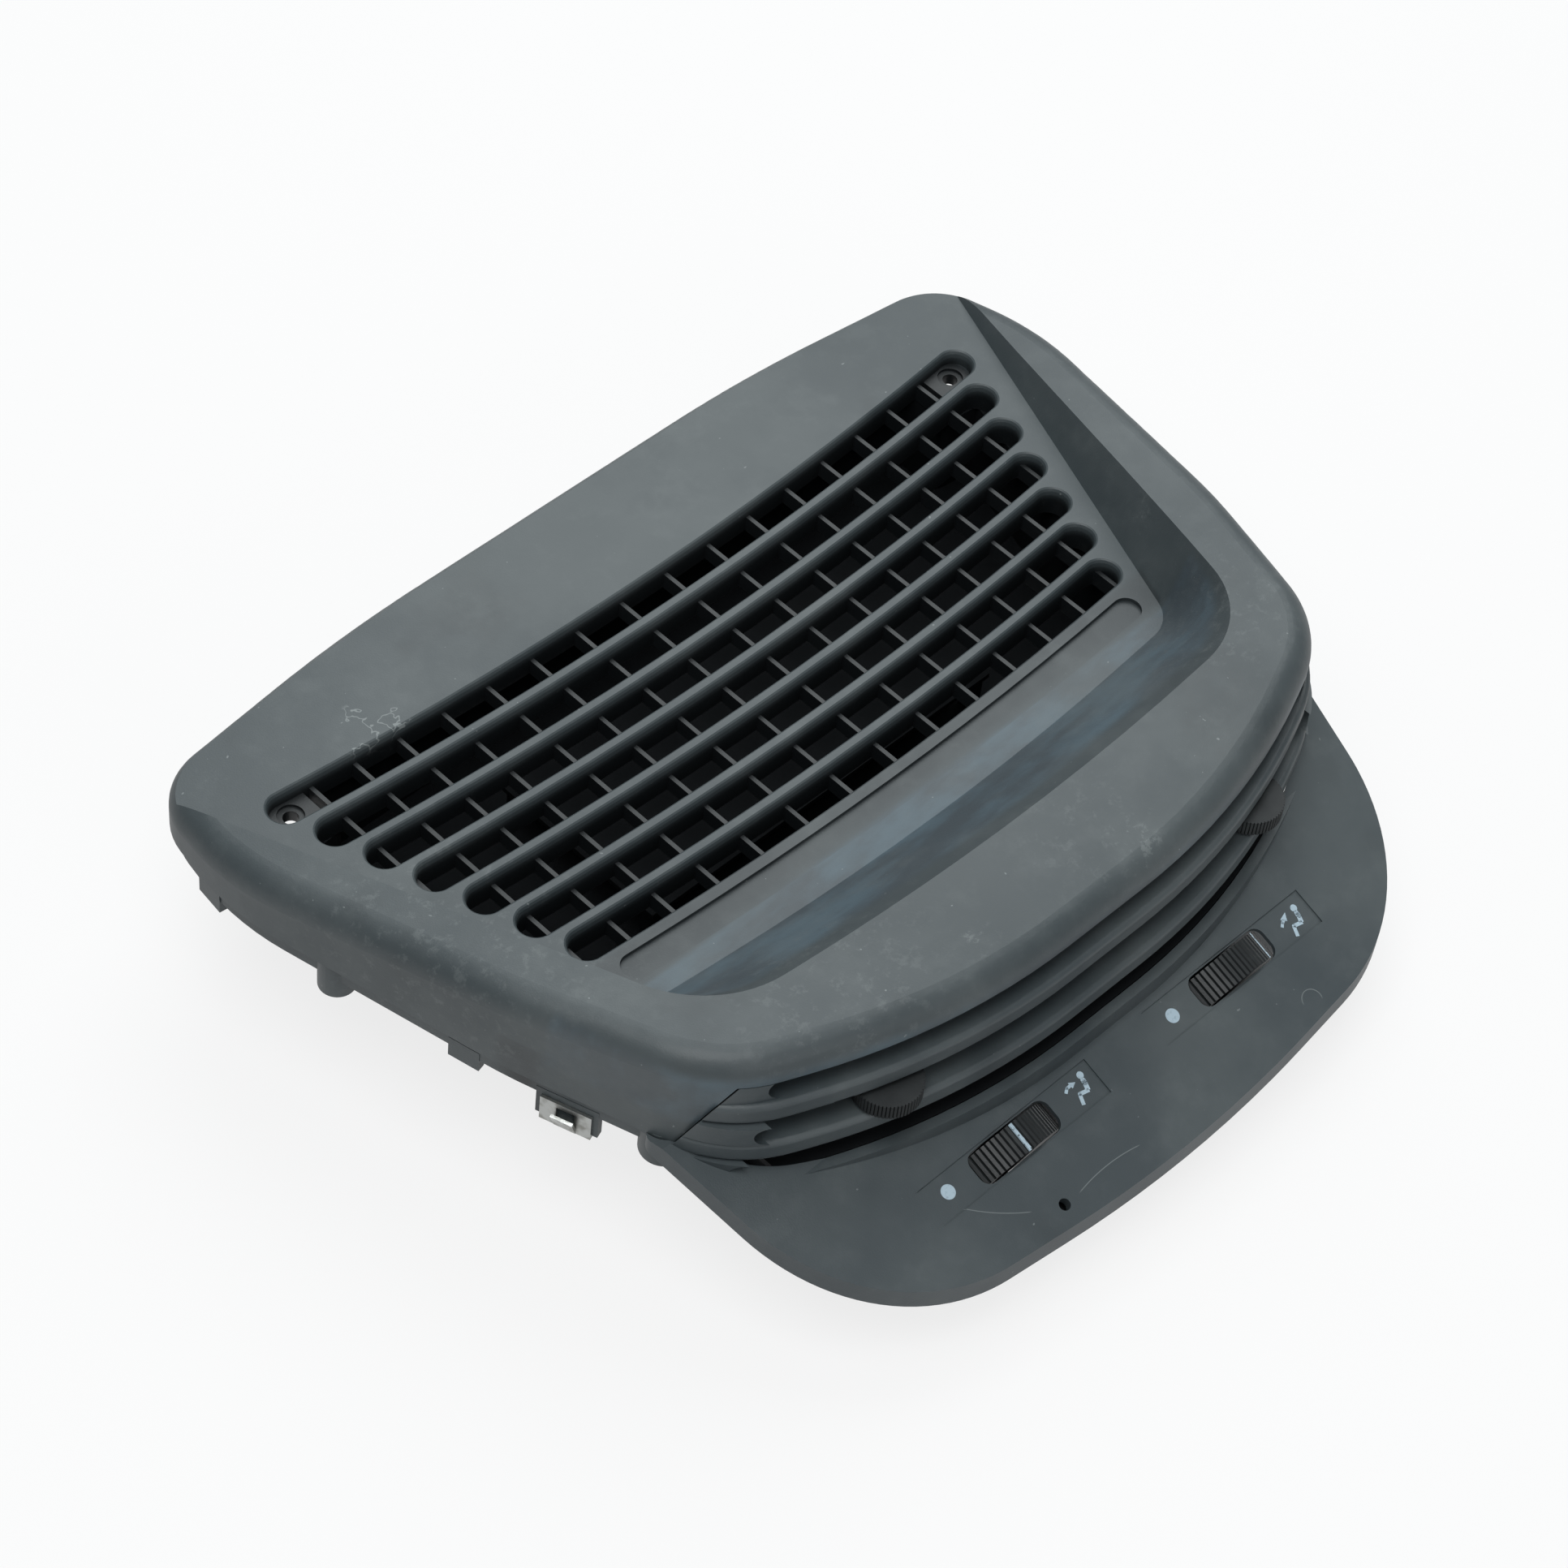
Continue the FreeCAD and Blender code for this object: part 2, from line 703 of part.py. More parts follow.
def front_bezel():
    levels = face_levels()
    step = size("bar_step")
    low = -60.0
    wall = size("wall")
    sill_top = levels[5]
    parts = [band(0.0, levels[0], levels[1], wall), band(2 * step, levels[2], levels[3], wall),
             band(3 * step, levels[4], levels[5], wall), band(3 * step, sill_top, low, wall),
             rounded_bar(step, levels[1]), rounded_bar(2 * step, levels[3])]
    shell = parts[0].fuse(parts[1:])
    grow = size("face_slot_growth")
    half = size("face_slot_a_half")
    slots = [face_slot(half, levels[0] + 1, levels[1]), face_slot(half + grow, levels[2], levels[3]),
             face_slot(half + 2 * grow, levels[4], levels[5])]
    shell = shell.cut(slots)
    shell = shell.fuse([rounded_bar(step, levels[1]), rounded_bar(2 * step, levels[3])])
    shell = shell.cut(apron_slab(-size("apron_thickness"), -200))
    shell = shell.fuse(apron())
    shell = shell.common(front_zone(-size("joint_gap")).fuse(
        Part.makeBox(2 * WIDE, 200, 60, Vector(-WIDE, -250, -60 - size("hood_skirt_drop")))))
    shell = shell.fuse(wheel_brackets()).cut(knob_sockets() + bush_clearance())
    return shell.removeSplitter()


def knob_x():
    return size("vane_first") + 3 * size("vane_pitch")


# Air box behind the front face and under the grille

def channel_cell(left, right, inset):
    """Elbow from the front outlet down to the inlet collar, between two X planes."""
    top = size("channel_top") + size("box_wall") - inset
    floor = -size("channel_floor_drop") - size("box_wall") + inset
    front = -size("duct_front_reach") - size("box_wall") + inset
    rear = -size("duct_rear_reach") + size("box_wall") - inset
    low = -size("collar_drop") - inset
    points = [(-170.0, top), (-132.0, top), (-110.5 + inset / 2, -6.0 - inset / 2), (rear, -12.0 - inset / 2),
              (rear, low), (front, low), (front, floor), (-170.0, floor)]
    wire = Part.makePolygon([Vector(left, y, z) for y, z in points + points[:1]])
    return Part.Face(wire).extrude(Vector(right - left, 0, 0))


def outlet_boxes():
    """Two front channels side by side, narrowing into the ducts below them."""
    wall = size("box_wall")
    inner_x = size("channel_inner_x")
    outer_x = size("channel_outer_x")
    duct_x = size("duct_outer_x")
    floor = -size("channel_floor_drop")
    upper = Part.makeBox(2 * WIDE, 200, 100, Vector(-WIDE, -250, floor - wall))
    shell = channel_cell(-outer_x - wall, outer_x + wall, 0.0).common(upper)
    shell = shell.fuse(channel_cell(-duct_x - wall, duct_x + wall, 0.0))
    shell = shell.common(prism(hood_outline(-size("box_front_inset"), -100), 200))
    shell = shell.fuse(front_floor())
    above = Part.makeBox(2 * WIDE, 200, 100, Vector(-WIDE, -250, floor))
    cells = [channel_cell(-inner_x + wall, inner_x - wall, wall)]
    for left, right, duct_left, duct_right in ((inner_x, outer_x, inner_x, duct_x), (-outer_x, -inner_x, -duct_x, -inner_x)):
        cells.append(channel_cell(left, right, wall).common(above))
        cells.append(channel_cell(duct_left, duct_right, wall))
    crank_room = Part.makeBox(2 * (inner_x - wall), 60, 60,
                              Vector(-inner_x + wall, -size("duct_rear_reach") - 60, floor - wall - 1 - 60))
    shell = shell.cut(cells + [crank_room])
    pivots = []
    for side in (-1, 1):
        for x in vane_places():
            pivots.append(Part.makeCylinder(size("pivot_radius") + size("shaft_clearance"), 60,
                                            Vector(side * x, -size("vane_pivot_reach"), -40)))
    shaft = Part.makeCylinder(size("pivot_radius") + size("shaft_clearance"), 2 * outer_x + 20,
                              Vector(-outer_x - 10, -shutter_reach(), -size("shutter_drop")), Vector(1, 0, 0))
    return shell.cut(pivots + [shaft])


def front_floor():
    """Floor of the channels carried forward to the back of the sill."""
    wall = size("box_wall")
    low = -size("channel_floor_drop") - wall
    inset = -size("wall") - size("joint_gap")
    plate = prism(band_outline(3 * size("bar_step"), inset, low), wall)
    reach = size("channel_outer_x") + wall
    return plate.common(Part.makeBox(2 * reach, 100, 20, Vector(-reach, -size("duct_front_reach") - 101, low - 5)))


def vane_places():
    return [size("vane_first") + size("vane_pitch") * n for n in range(int(size("vane_count")))]


def shutter_reach():
    return (size("duct_front_reach") + size("duct_rear_reach")) / 2


def chamber_outline(grow, height):
    rear = size("chamber_rear_reach")
    outline = round_outline(both_sides([
        (size("chamber_half_width"), rear, 3.0),
        (size("chamber_half_width"), -6.9, 0.5),
        (size("chamber_half_width") + 12.0, -8.0, 2.0),
        (size("chamber_front_half_width"), -86.5, 6.0),
        (0.0, -93.0, 600.0),
    ]), height)
    return outline.makeOffset2D(grow) if grow else outline


def rear_chamber():
    wall = size("box_wall")
    top = -size("grille_depth")
    floor = -size("chamber_floor_drop")
    shell = prism(chamber_outline(0.0, floor - wall), top - floor + wall)
    shell = shell.cut(prism(chamber_outline(-wall, floor), top - floor + 1))
    half = size("inlet_half_width")
    length = size("inlet_length")
    low = -size("collar_drop")
    middle = -size("inlet_middle")
    collar = Part.makeBox(2 * half, length, floor - low, Vector(-half, middle - length / 2, low))
    bore = Part.makeBox(2 * (half - wall), length - 2 * wall, floor - low + 5,
                        Vector(-half + wall, middle - length / 2 + wall, low - 1))
    return shell.fuse(collar).cut(bore)


def baffle():
    """Plate over the inlet that spreads the air under the grille, on four posts."""
    over = size("baffle_overlap")
    half = size("inlet_half_width") + over
    reach = size("inlet_length") / 2 + over
    floor = -size("chamber_floor_drop")
    rise = size("baffle_rise")
    pieces = [Part.makeBox(2 * half, 2 * reach, size("baffle_thickness"),
                           Vector(-half, -size("inlet_middle") - reach, floor + rise))]
    for side in (-1, 1):
        for end in (-1, 1):
            x = side * (half - 3)
            y = -size("inlet_middle") + end * (reach - 3)
            pieces.append(Part.makeBox(4, 4, rise + 1, Vector(x - 2, y - 2, floor - 0.5)))
    return pieces


def case_screw_places():
    return [(x, y) for x in (-62.0, 62.0) for y in (15.0, -100.0)]


def flange_top():
    return -size("grille_depth") - size("joint_gap")


def screw_hole_cutters(front):
    """Clearance holes for the case screws of one end."""
    radius = size("case_screw_radius") + size("shaft_clearance")
    return [Part.makeCylinder(radius, 20, Vector(x, y, -28)) for x, y in case_screw_places() if (y < 0) == front]


def lugs():
    """Ears of the demister chamber that the case screws clamp: the front pair lies under the bridge."""
    flange = size("flange_thickness")
    made = []
    for x, y in case_screw_places():
        if y > 0:
            made.append(Part.makeBox(14, 18, flange, Vector(x - 7, 4, flange_top() - flange)))
        else:
            made.append(Part.makeBox(14, 18, flange, Vector(x - 7, y - 3.2, flange_top() - 2 * flange)))
    return made


def demister_chamber():
    """Flat box under the grille with the inlet collar below it."""
    hollow = prism(chamber_outline(-size("box_wall"), -size("chamber_floor_drop")),
                   size("chamber_floor_drop") - size("grille_depth") + 1)
    shell = rear_chamber().fuse(lugs()).cut(hollow).fuse(baffle())
    return shell.cut(screw_hole_cutters(True) + screw_hole_cutters(False)).removeSplitter()


def outlet_box():
    """Front channels and ducts, with the bridge that bolts them to the hood and the rocker posts."""
    flange = size("flange_thickness")
    bridge = Part.makeBox(172, 24, flange, Vector(-86, -112, flange_top() - flange))
    for left, right in ((size("channel_inner_x"), size("channel_outer_x")),
                        (-size("channel_outer_x"), -size("channel_inner_x"))):
        bridge = bridge.cut(channel_cell(left, right, size("box_wall")))
    bridge = bridge.cut(prism(chamber_outline(size("joint_gap"), flange_top() - 2 * flange), 3 * flange))
    shell = outlet_boxes().fuse(bridge)
    holes = screw_hole_cutters(True)
    for side in (-1, 1):
        for x in rocker_posts():
            ahead = max(size("rocker_pivot_reach"), size("duct_front_reach"))
            post = Part.makeBox(2, ahead - size("rocker_pivot_reach") + 8,
                                size("rocker_pivot_drop") - size("channel_floor_drop") + 3,
                                Vector(side * x - 1, -ahead - 4, -size("rocker_pivot_drop") - 4))
            shell = shell.fuse(post)
        holes.append(Part.makeCylinder(size("rocker_shaft_radius") + size("shaft_clearance"), 100,
                                       Vector(side * 9 + 50 * (side - 1), -size("rocker_pivot_reach"),
                                              -size("rocker_pivot_drop")), Vector(1, 0, 0)))
    return shell.cut(holes).removeSplitter()


def rocker_posts():
    """X of the two posts that carry each rocker shaft."""
    return [size("channel_inner_x") + 1.0, size("channel_inner_x") + 10.0]


def screw_bosses():
    """Blind bosses under the hood for the case screws."""
    bosses = []
    for x, y in case_screw_places():
        boss = Part.makeCylinder(4.0, size("grille_depth") - 1.0, Vector(x, y, -size("grille_depth")))
        pilot = Part.makeCylinder(size("case_screw_radius") + size("shaft_clearance"),
                                  size("grille_depth") - 2.5, Vector(x, y, -size("grille_depth") - 0.1))
        bosses.append(boss.cut(pilot))
    return bosses


# Primitives bound to the sheet

def with_sheet(text):
    return re.sub(r"[a-z_]+", lambda word: f"Sizes.{word[0]}" if word[0] in SIZES else word[0], text)


def bind(made, **expressions):
    for name, text in expressions.items():
        made.setExpression(name.replace("__", "."), with_sheet(text))


def place(made, at):
    for axis, text in zip("xyz", at):
        made.setExpression(f"Placement.Base.{axis}", with_sheet(text))
    return made


def block(name, length, width, height, at):
    made = doc.addObject("Part::Box", name)
    bind(made, Length=length, Width=width, Height=height)
    return place(made, at)


AXES = {"X": Rotation(Vector(0, 1, 0), 90), "Y": Rotation(Vector(1, 0, 0), -90), "Z": Rotation()}


def rod(name, radius, length, at, axis="Z"):
    made = doc.addObject("Part::Cylinder", name)
    made.Placement = Placement(Vector(), AXES[axis])
    bind(made, Radius=radius, Height=length)
    return place(made, at)


def fused(name, pieces):
    made = doc.addObject("Part::MultiFuse", name)
    made.Shapes = pieces
    return made


def cut(name, base, tools):
    made = doc.addObject("Part::Cut", name)
    made.Base = base
    made.Tool = tools[0] if len(tools) == 1 else fused(name + "_tools", tools)
    return made


def origin_plane(body, role):
    return next(item for item in body.Origin.OriginFeatures if item.Role == role)


def toothed_disc(name, role, radius, width, teeth, depth):
    """Padded disc with V grooves round its rim, centred on the origin."""
    body = doc.addObject("PartDesign::Body", name)
    disc = body.newObject("Sketcher::SketchObject", name + "_disc")
    disc.AttachmentSupport = (origin_plane(body, role), "")
    disc.MapMode = "FlatFace"
    disc.addGeometry(Part.Circle(Vector(), Vector(0, 0, 1), size(radius)), False)
    disc.addConstraint(Sketcher.Constraint("Coincident", 0, 3, -1, 1))
    disc.addConstraint(Sketcher.Constraint("Radius", 0, size(radius)))
    disc.setExpression("Constraints[1]", f"Sizes.{radius}")
    pad = body.newObject("PartDesign::Pad", name + "_pad")
    pad.Profile = disc
    pad.Midplane = True
    pad.setExpression("Length", f"Sizes.{width}")
    groove = body.newObject("Sketcher::SketchObject", name + "_groove")
    groove.AttachmentSupport = (origin_plane(body, role), "")
    groove.MapMode = "FlatFace"
    rim = size(radius)
    half = rim * math.sin(math.pi / size(teeth)) * 0.6
    points = [Vector(-half, rim + 0.3, 0), Vector(half, rim + 0.3, 0), Vector(0, rim - size(depth), 0)]
    for start, stop in zip(points, points[1:] + points[:1]):
        groove.addGeometry(Part.LineSegment(start, stop), False)
    for index in range(3):
        groove.addConstraint(Sketcher.Constraint("Coincident", index, 2, (index + 1) % 3, 1))
    groove.addConstraint(Sketcher.Constraint("PointOnObject", 1, 2, -2))
    groove.addConstraint(Sketcher.Constraint("Symmetric", 0, 1, 0, 2, -2))
    groove.addConstraint(Sketcher.Constraint("DistanceX", 0, 1, 0, 2, 2 * half))
    groove.addConstraint(Sketcher.Constraint("DistanceY", -1, 1, 1, 2, rim - size(depth)))
    groove.setExpression("Constraints[6]", f"Sizes.{radius} - Sizes.{depth}")
    groove.addConstraint(Sketcher.Constraint("DistanceY", -1, 1, 0, 1, rim + 0.3))
    groove.setExpression("Constraints[7]", f"Sizes.{radius} + 0.3")
    doc.recompute()
    pocket = body.newObject("PartDesign::Pocket", name + "_pocket")
    pocket.Profile = groove
    pocket.Midplane = True
    pocket.Type = "ThroughAll"
    pattern = body.newObject("PartDesign::PolarPattern", name + "_teeth")
    pattern.Originals = [pocket]
    pattern.Axis = (groove, ["N_Axis"])
    pattern.Angle = 360
    pattern.setExpression("Occurrences", f"Sizes.{teeth}")
    body.Tip = pattern
    doc.recompute()
    return body


def slab(name, length, width, height, corner, tilt=0.0):
    """Block with its corner given before it is tilted about X through the local origin."""
    made = doc.addObject("Part::Box", name)
    bind(made, Length=length, Width=width, Height=height)
    made.Placement = Placement(Vector(), Rotation(Vector(1, 0, 0), tilt)) * Placement(Vector(*corner), Rotation())
    return made


SIDES = (("left", -1), ("right", 1))


def span(side, near, far):
    """Start of an X run between two distances from the centre line."""
    return f"{near}" if side > 0 else f"-({far})"


# Vanes, link bars and knobs

def vane(label, side, number):
    name = f"{label}_vane_{number + 1}"
    x = f"{side} * (vane_first + {number} * vane_pitch)"
    tall = "channel_top + channel_floor_drop - 2 * vane_end_gap"
    low = "-channel_floor_drop + vane_end_gap"
    edge = "vane_thickness / 2"
    blade = fused(name + "_blade", [
        block(name + "_plate", "vane_thickness", "vane_chord - vane_thickness", tall,
              (f"{x} - {edge}", f"-vane_pivot_reach - vane_chord / 2 + {edge}", low)),
        rod(name + "_nose", edge, tall, (x, f"-vane_pivot_reach - vane_chord / 2 + {edge}", low)),
        rod(name + "_tail", edge, tall, (x, f"-vane_pivot_reach + vane_chord / 2 - {edge}", low))])
    notches = [
        block(name + "_roof_notch", "4", "10", "10", (f"{x} - 2", "-vane_pivot_reach + 2.4", "channel_top - 5.2")),
        block(name + "_link_notch", "4", "10", "6", (f"{x} - 2", "-vane_pivot_reach + pivot_radius", "-link_shelf_drop"))]
    pieces = [
        rod(name + "_pivot", "pivot_radius", "channel_top + channel_floor_drop + 2 * (box_wall - 0.3)",
            (x, "-vane_pivot_reach", "-channel_floor_drop - box_wall + 0.3")),
        rod(name + "_link_pin", "link_pin_radius", "3.5", (x, "-vane_pivot_reach + vane_arm", "-link_shelf_drop"))]
    if number == 3:
        notches.append(block(name + "_nose_notch", "4", "5", "7.5", (f"{x} - 2", "-vane_pivot_reach - 9.5", "-7")))
        pieces.append(block(name + "_arm", "3", "vane_nose + 1.5", "2", (f"{x} - 1.5", "-vane_pivot_reach - vane_nose - 1.5", "0.5")))
        pieces.append(rod(name + "_arm_pin", "nose_pin_radius", "7", (x, "-vane_pivot_reach - vane_nose", "-4.5")))
    return fused(name, [cut(name + "_notched", blade, notches)] + pieces)


def vane_link(label, side):
    name = f"{label}_vane_link"
    end = "link_slot_width / 2 + 1.2"
    reach = "(vane_count - 1) * vane_pitch"
    x = span(side, f"vane_first - {end}", f"vane_first + {reach} + {end}")
    middle = "-vane_pivot_reach + vane_arm"
    bar = block(name + "_bar", f"{reach} + 2 * ({end})", "link_width", "link_thickness",
                (x, f"{middle} - 0.55 - link_width / 2", "-link_shelf_drop + joint_gap"))
    slots = [block(f"{name}_slot_{n}", "link_slot_width", "link_slot_length", "link_thickness + 2",
                   (f"{side} * (vane_first + {n} * vane_pitch) - link_slot_width / 2",
                    f"{middle} - 0.55 - link_slot_length / 2", "-link_shelf_drop - 1"))
             for n in range(int(size("vane_count")))]
    return cut(name, bar, slots)


def knob(label, side):
    name = f"{label}_knob"
    x = f"{side} * (vane_first + 3 * vane_pitch)"
    low = "lip_height - 2.5 * bar_height - knob_thickness / 2"
    disc = toothed_disc(name + "_disc", "XY_Plane", "knob_radius", "knob_thickness", "knob_teeth", "knob_tooth_depth")
    place(disc, (x, "-knob_pivot_reach", "lip_height - 2.5 * bar_height"))
    back = block(name + "_back", "2 * knob_radius + 2", "knob_radius", "knob_thickness + 2",
                 (f"{x} - knob_radius - 1", "-knob_pivot_reach + 4", f"{low} - 1"))
    arm = block(name + "_arm", "6", "knob_fork_reach", "knob_thickness", (f"{x} - 3", "-knob_pivot_reach", low))
    pivots = rod(name + "_pivots", "pivot_radius", "bar_height + 4.8",
                 (x, "-knob_pivot_reach", "lip_height - 3 * bar_height - 2.4"))
    fork = block(name + "_fork", "knob_fork_width", "6", "knob_thickness + 2",
                 (f"{x} - knob_fork_width / 2", "-knob_pivot_reach + 8.5", f"{low} - 1"))
    return cut(name, fused(name + "_solid", [cut(name + "_front", disc, [back]), arm, pivots]), [fork])


# Thumbwheels, rockers and shutters; each built about its own axis at mid travel

def thumbwheel(label, side):
    name = f"{label}_thumbwheel"
    disc = toothed_disc(name + "_disc", "XZ_Plane", "wheel_radius", "wheel_width", "wheel_teeth", "wheel_tooth_depth")
    lower = block(name + "_lower", "2 * wheel_radius + 2", "wheel_width + 2", "wheel_radius",
                  ("-wheel_radius - 1", "-wheel_width / 2 - 1", "-wheel_radius - 1.5"))
    ear = "wheel_width / 2 + 0.6 + 2"
    arm_start = f"{ear} + 0.7"
    pin_x = f"{-side} * crank_pin_throw"
    pieces = [
        rod(name + "_hub", "2 * wheel_bore + 0.5", "wheel_width", ("0", "-wheel_width / 2", "0"), "Y"),
        rod(name + "_shaft", "wheel_bore", f"2 * ({ear}) + 2.9", ("0", f"-({ear}) - 0.2", "0"), "Y"),
        block(name + "_crank", "crank_pin_throw", "2", "5", (span(-side, "0", "crank_pin_throw"), arm_start, "-2.5")),
        rod(name + "_crank_hub", "2.5", "2", ("0", arm_start, "0"), "Y"),
        rod(name + "_crank_end", "2.5", "2", (pin_x, arm_start, "0"), "Y"),
        rod(name + "_pin", "crank_pin_radius", "crank_pin_length + 1", (pin_x, f"{arm_start} + 1", "0"), "Y")]
    return fused(name, [cut(name + "_sector", disc, [lower])] + pieces)


def fork_offset():
    """Middle of the thumbwheel pin inside the fork, seen from the rocker axis, as (y, z)."""
    pin = wheel_centre(1).multVec(Vector(0, size("fork_along"), 0))
    return pin.y + size("rocker_pivot_reach"), pin.z + size("rocker_pivot_drop")


def rocker(label, side):
    name = f"{label}_rocker"
    fork_y, fork_z = fork_offset()
    inner = size("label_middle") - size("crank_pin_throw") - 7.1
    start = Placement(Vector(0, fork_y, fork_z), Rotation(Vector(1, 0, 0), size("apron_slope_deg")))
    outer = inner + 11.5
    web = slab(name + "_web", str(outer - inner), "fork_thickness", "fork_gap + 3.6", (0, 0, 0))
    slot = slab(name + "_slot", str(outer - inner), "fork_thickness + 2", "fork_gap", (0, 0, 0))
    left = inner if side > 0 else -outer
    slot_left = inner + 3.5 if side > 0 else -outer - 3.5
    web.Placement = start * Placement(Vector(left, -size("fork_thickness") / 2, -size("fork_gap") / 2 - 1.8), Rotation())
    slot.Placement = start * Placement(Vector(slot_left, -size("fork_thickness") / 2 - 1, -size("fork_gap") / 2), Rotation())
    pieces = [
        cut(name + "_prongs", web, [slot]),
        rod(name + "_shaft", "rocker_shaft_radius", str(inner + 3.5 - 2.6),
            (span(side, "2.6", str(inner + 3.5)), "0", "0"), "X"),
        slab(name + "_front_arm", "3.5", str(-fork_y + 0.6), "5", (inner if side > 0 else -inner - 3.5, fork_y - 0.6, -2.3)),
        rod(name + "_front_hub", "4", "3.5", (span(side, str(inner), str(inner + 3.5)), "0", "0"), "X"),
        block(name + "_rear_arm", "2", "rocker_rear_arm + 2", "4.4", (span(side, "2.6", "4.6"), "0", "-2.2")),
        rod(name + "_rear_hub", "4", "2", (span(side, "2.6", "4.6"), "0", "0"), "X"),
        rod(name + "_rear_pin", "link_pin_radius", "4.6", (span(side, "3.6", "8.2"), "rocker_rear_arm", "0"), "X")]
    return fused(name, pieces)


def shutter_tilt(side):
    return side * (size("shutter_closed_tilt") + size("shutter_swing"))


def shutter(label, side):
    name = f"{label}_shutter"
    near = size("channel_inner_x") + size("shutter_gap")
    far = size("duct_outer_x") - size("shutter_gap")
    half = size("shutter_half_chord")
    plate = slab(name + "_plate", str(far - near), "2 * shutter_half_chord", "shutter_thickness",
                 (near if side > 0 else -far, -half, -size("shutter_thickness") / 2), shutter_tilt(side))
    shaft = rod(name + "_shaft", "pivot_radius", "duct_outer_x + box_wall - 5.9",
                (span(side, "5.6", "duct_outer_x + box_wall - 0.3"), "0", "0"), "X")
    crank = block(name + "_crank", "2", "13", "6.6", (span(side, "5.6", "7.6"), "-13", "-3.3"))
    hub = rod(name + "_hub", "3.3", "2", (span(side, "5.6", "7.6"), "0", "0"), "X")
    slot = block(name + "_slot", "4", "6.2", "3.9", (span(side, "4.6", "8.6"), "-11.4", "-1.95"))
    return fused(name, [plate, shaft, cut(name + "_lever", fused(name + "_lever_solid", [crank, hub]), [slot])])


def shutter_seal(label, side):
    name = f"{label}_shutter_seal"
    near = size("channel_inner_x") + 0.5
    far = size("duct_outer_x") - 0.5
    strip = size("shutter_seal_width")
    half = size("shutter_half_chord") + 1.0
    thick = size("shutter_thickness")
    outer = slab(name + "_outer", str(far - near), str(2 * half), "shutter_seal_thickness",
                 (near if side > 0 else -far, -half, thick / 2), shutter_tilt(side))
    inner = slab(name + "_inner", str(far - near - 2 * strip), str(2 * (half - strip)), "shutter_seal_thickness + 2",
                 ((near if side > 0 else -far) + strip, -half + strip, thick / 2 - 1), shutter_tilt(side))
    shaft = rod(name + "_clear", "pivot_radius + shaft_clearance", "channel_outer_x",
                (span(side, "5.6", "channel_outer_x + 5.6"), "0", "0"), "X")
    return cut(name, outer, [inner, shaft])


# Seals and fasteners

def collar_gasket(name, half_x, rear, front):
    low = "-collar_drop"
    outer = block(name + "_outer", f"2 * ({half_x} + gasket_width)", f"({front}) - ({rear}) + 2 * gasket_width", "gasket_height",
                  (f"-({half_x}) - gasket_width", f"-({front}) - gasket_width", low))
    inner = block(name + "_inner", f"2 * ({half_x})", f"({front}) - ({rear})", "gasket_height + 2",
                  (f"-({half_x})", f"-({front})", f"{low} - 1"))
    return cut(name, outer, [inner])


def case_screws():
    pieces = []
    for number, (x, y) in enumerate(case_screw_places()):
        seat = "-grille_depth - joint_gap - " + ("flange_thickness" if y > 0 else "2 * flange_thickness")
        pieces.append(rod(f"case_screw_{number}", "case_screw_radius", "case_screw_length", (str(x), str(y), seat)))
        head = rod(f"case_screw_head_{number}", "case_screw_head", "2.2", (str(x), str(y), seat + " - 2.2"))
        slot = block(f"case_screw_slot_{number}", "5", "1", "1", (f"{x} - 2.5", f"{y} - 0.5", seat + " - 2.2"))
        pieces.append(cut(f"case_screw_slotted_{number}", head, [slot]))
    return fused("case_screws", pieces)


# Everything in place

def seat(made, label, turn=None, about=None):
    """Names one finished sub-part and moves it from the datum to the standing frame."""
    made.Label = label
    local = Placement(about or Vector(), Rotation()) if turn is None else Placement(about, turn)
    made.Placement = Placement(stand(), Rotation()) * local
    nodes[label] = made


def stand():
    middle = (size("rear_reach") - size("front_edge_reach")) / 2
    return Vector(0, -middle, size("collar_drop"))


def build_all():
    for label, maker in (("top_cover", top_cover), ("front_bezel", front_bezel), ("outlet_box", outlet_box),
                         ("demister_chamber", demister_chamber),
                         ("spring_clips", spring_clips), ("metal_bushes", metal_bushes)):
        made = doc.addObject("Part::Feature", label)
        made.Shape = maker()
        seat(made, label)
    for label, side in SIDES:
        for number in range(int(size("vane_count"))):
            seat(vane(label, side, number), f"{label}_vane_{number + 1}")
        seat(vane_link(label, side), f"{label}_vane_link")
        seat(knob(label, side), f"{label}_knob")
        open_by = 1 if side > 0 else 0
        centre = wheel_centre(side)
        spin = Rotation(Vector(0, 1, 0), open_by * size("wheel_swing"))
        seat(thumbwheel(label, side), f"{label}_thumbwheel", centre.Rotation * spin, centre.Base)
        seat(rocker(label, side), f"{label}_rocker", Rotation(Vector(1, 0, 0), -open_by * size("rocker_swing")),
             Vector(0, -size("rocker_pivot_reach"), -size("rocker_pivot_drop")))
        for made, name in ((shutter(label, side), "shutter"), (shutter_seal(label, side), "shutter_seal")):
            seat(made, f"{label}_{name}", Rotation(Vector(1, 0, 0), open_by * size("shutter_swing")),
                 Vector(0, -shutter_reach(), -size("shutter_drop")))
    seat(collar_gasket("inlet_gasket", "inlet_half_width", "inlet_middle - inlet_length / 2",
                       "inlet_middle + inlet_length / 2"), "inlet_gasket")
    seat(collar_gasket("outlet_gasket", "duct_outer_x + box_wall", "duct_rear_reach - box_wall",
                       "duct_front_reach + box_wall"), "outlet_gasket")
    seat(case_screws(), "case_screws")


def write_all():
    doc.recompute()
    for label, made in nodes.items():
        state = ",".join(made.State)
        if made.Shape.isNull() or not made.Shape.isValid() or "Invalid" in state or "Error" in state:
            raise ValueError(f"{label} did not build: {state}")
    os.makedirs("parts", exist_ok=True)
    for label, made in nodes.items():
        made.Shape.exportStep(f"parts/{label}.step")


build_all()
write_all()
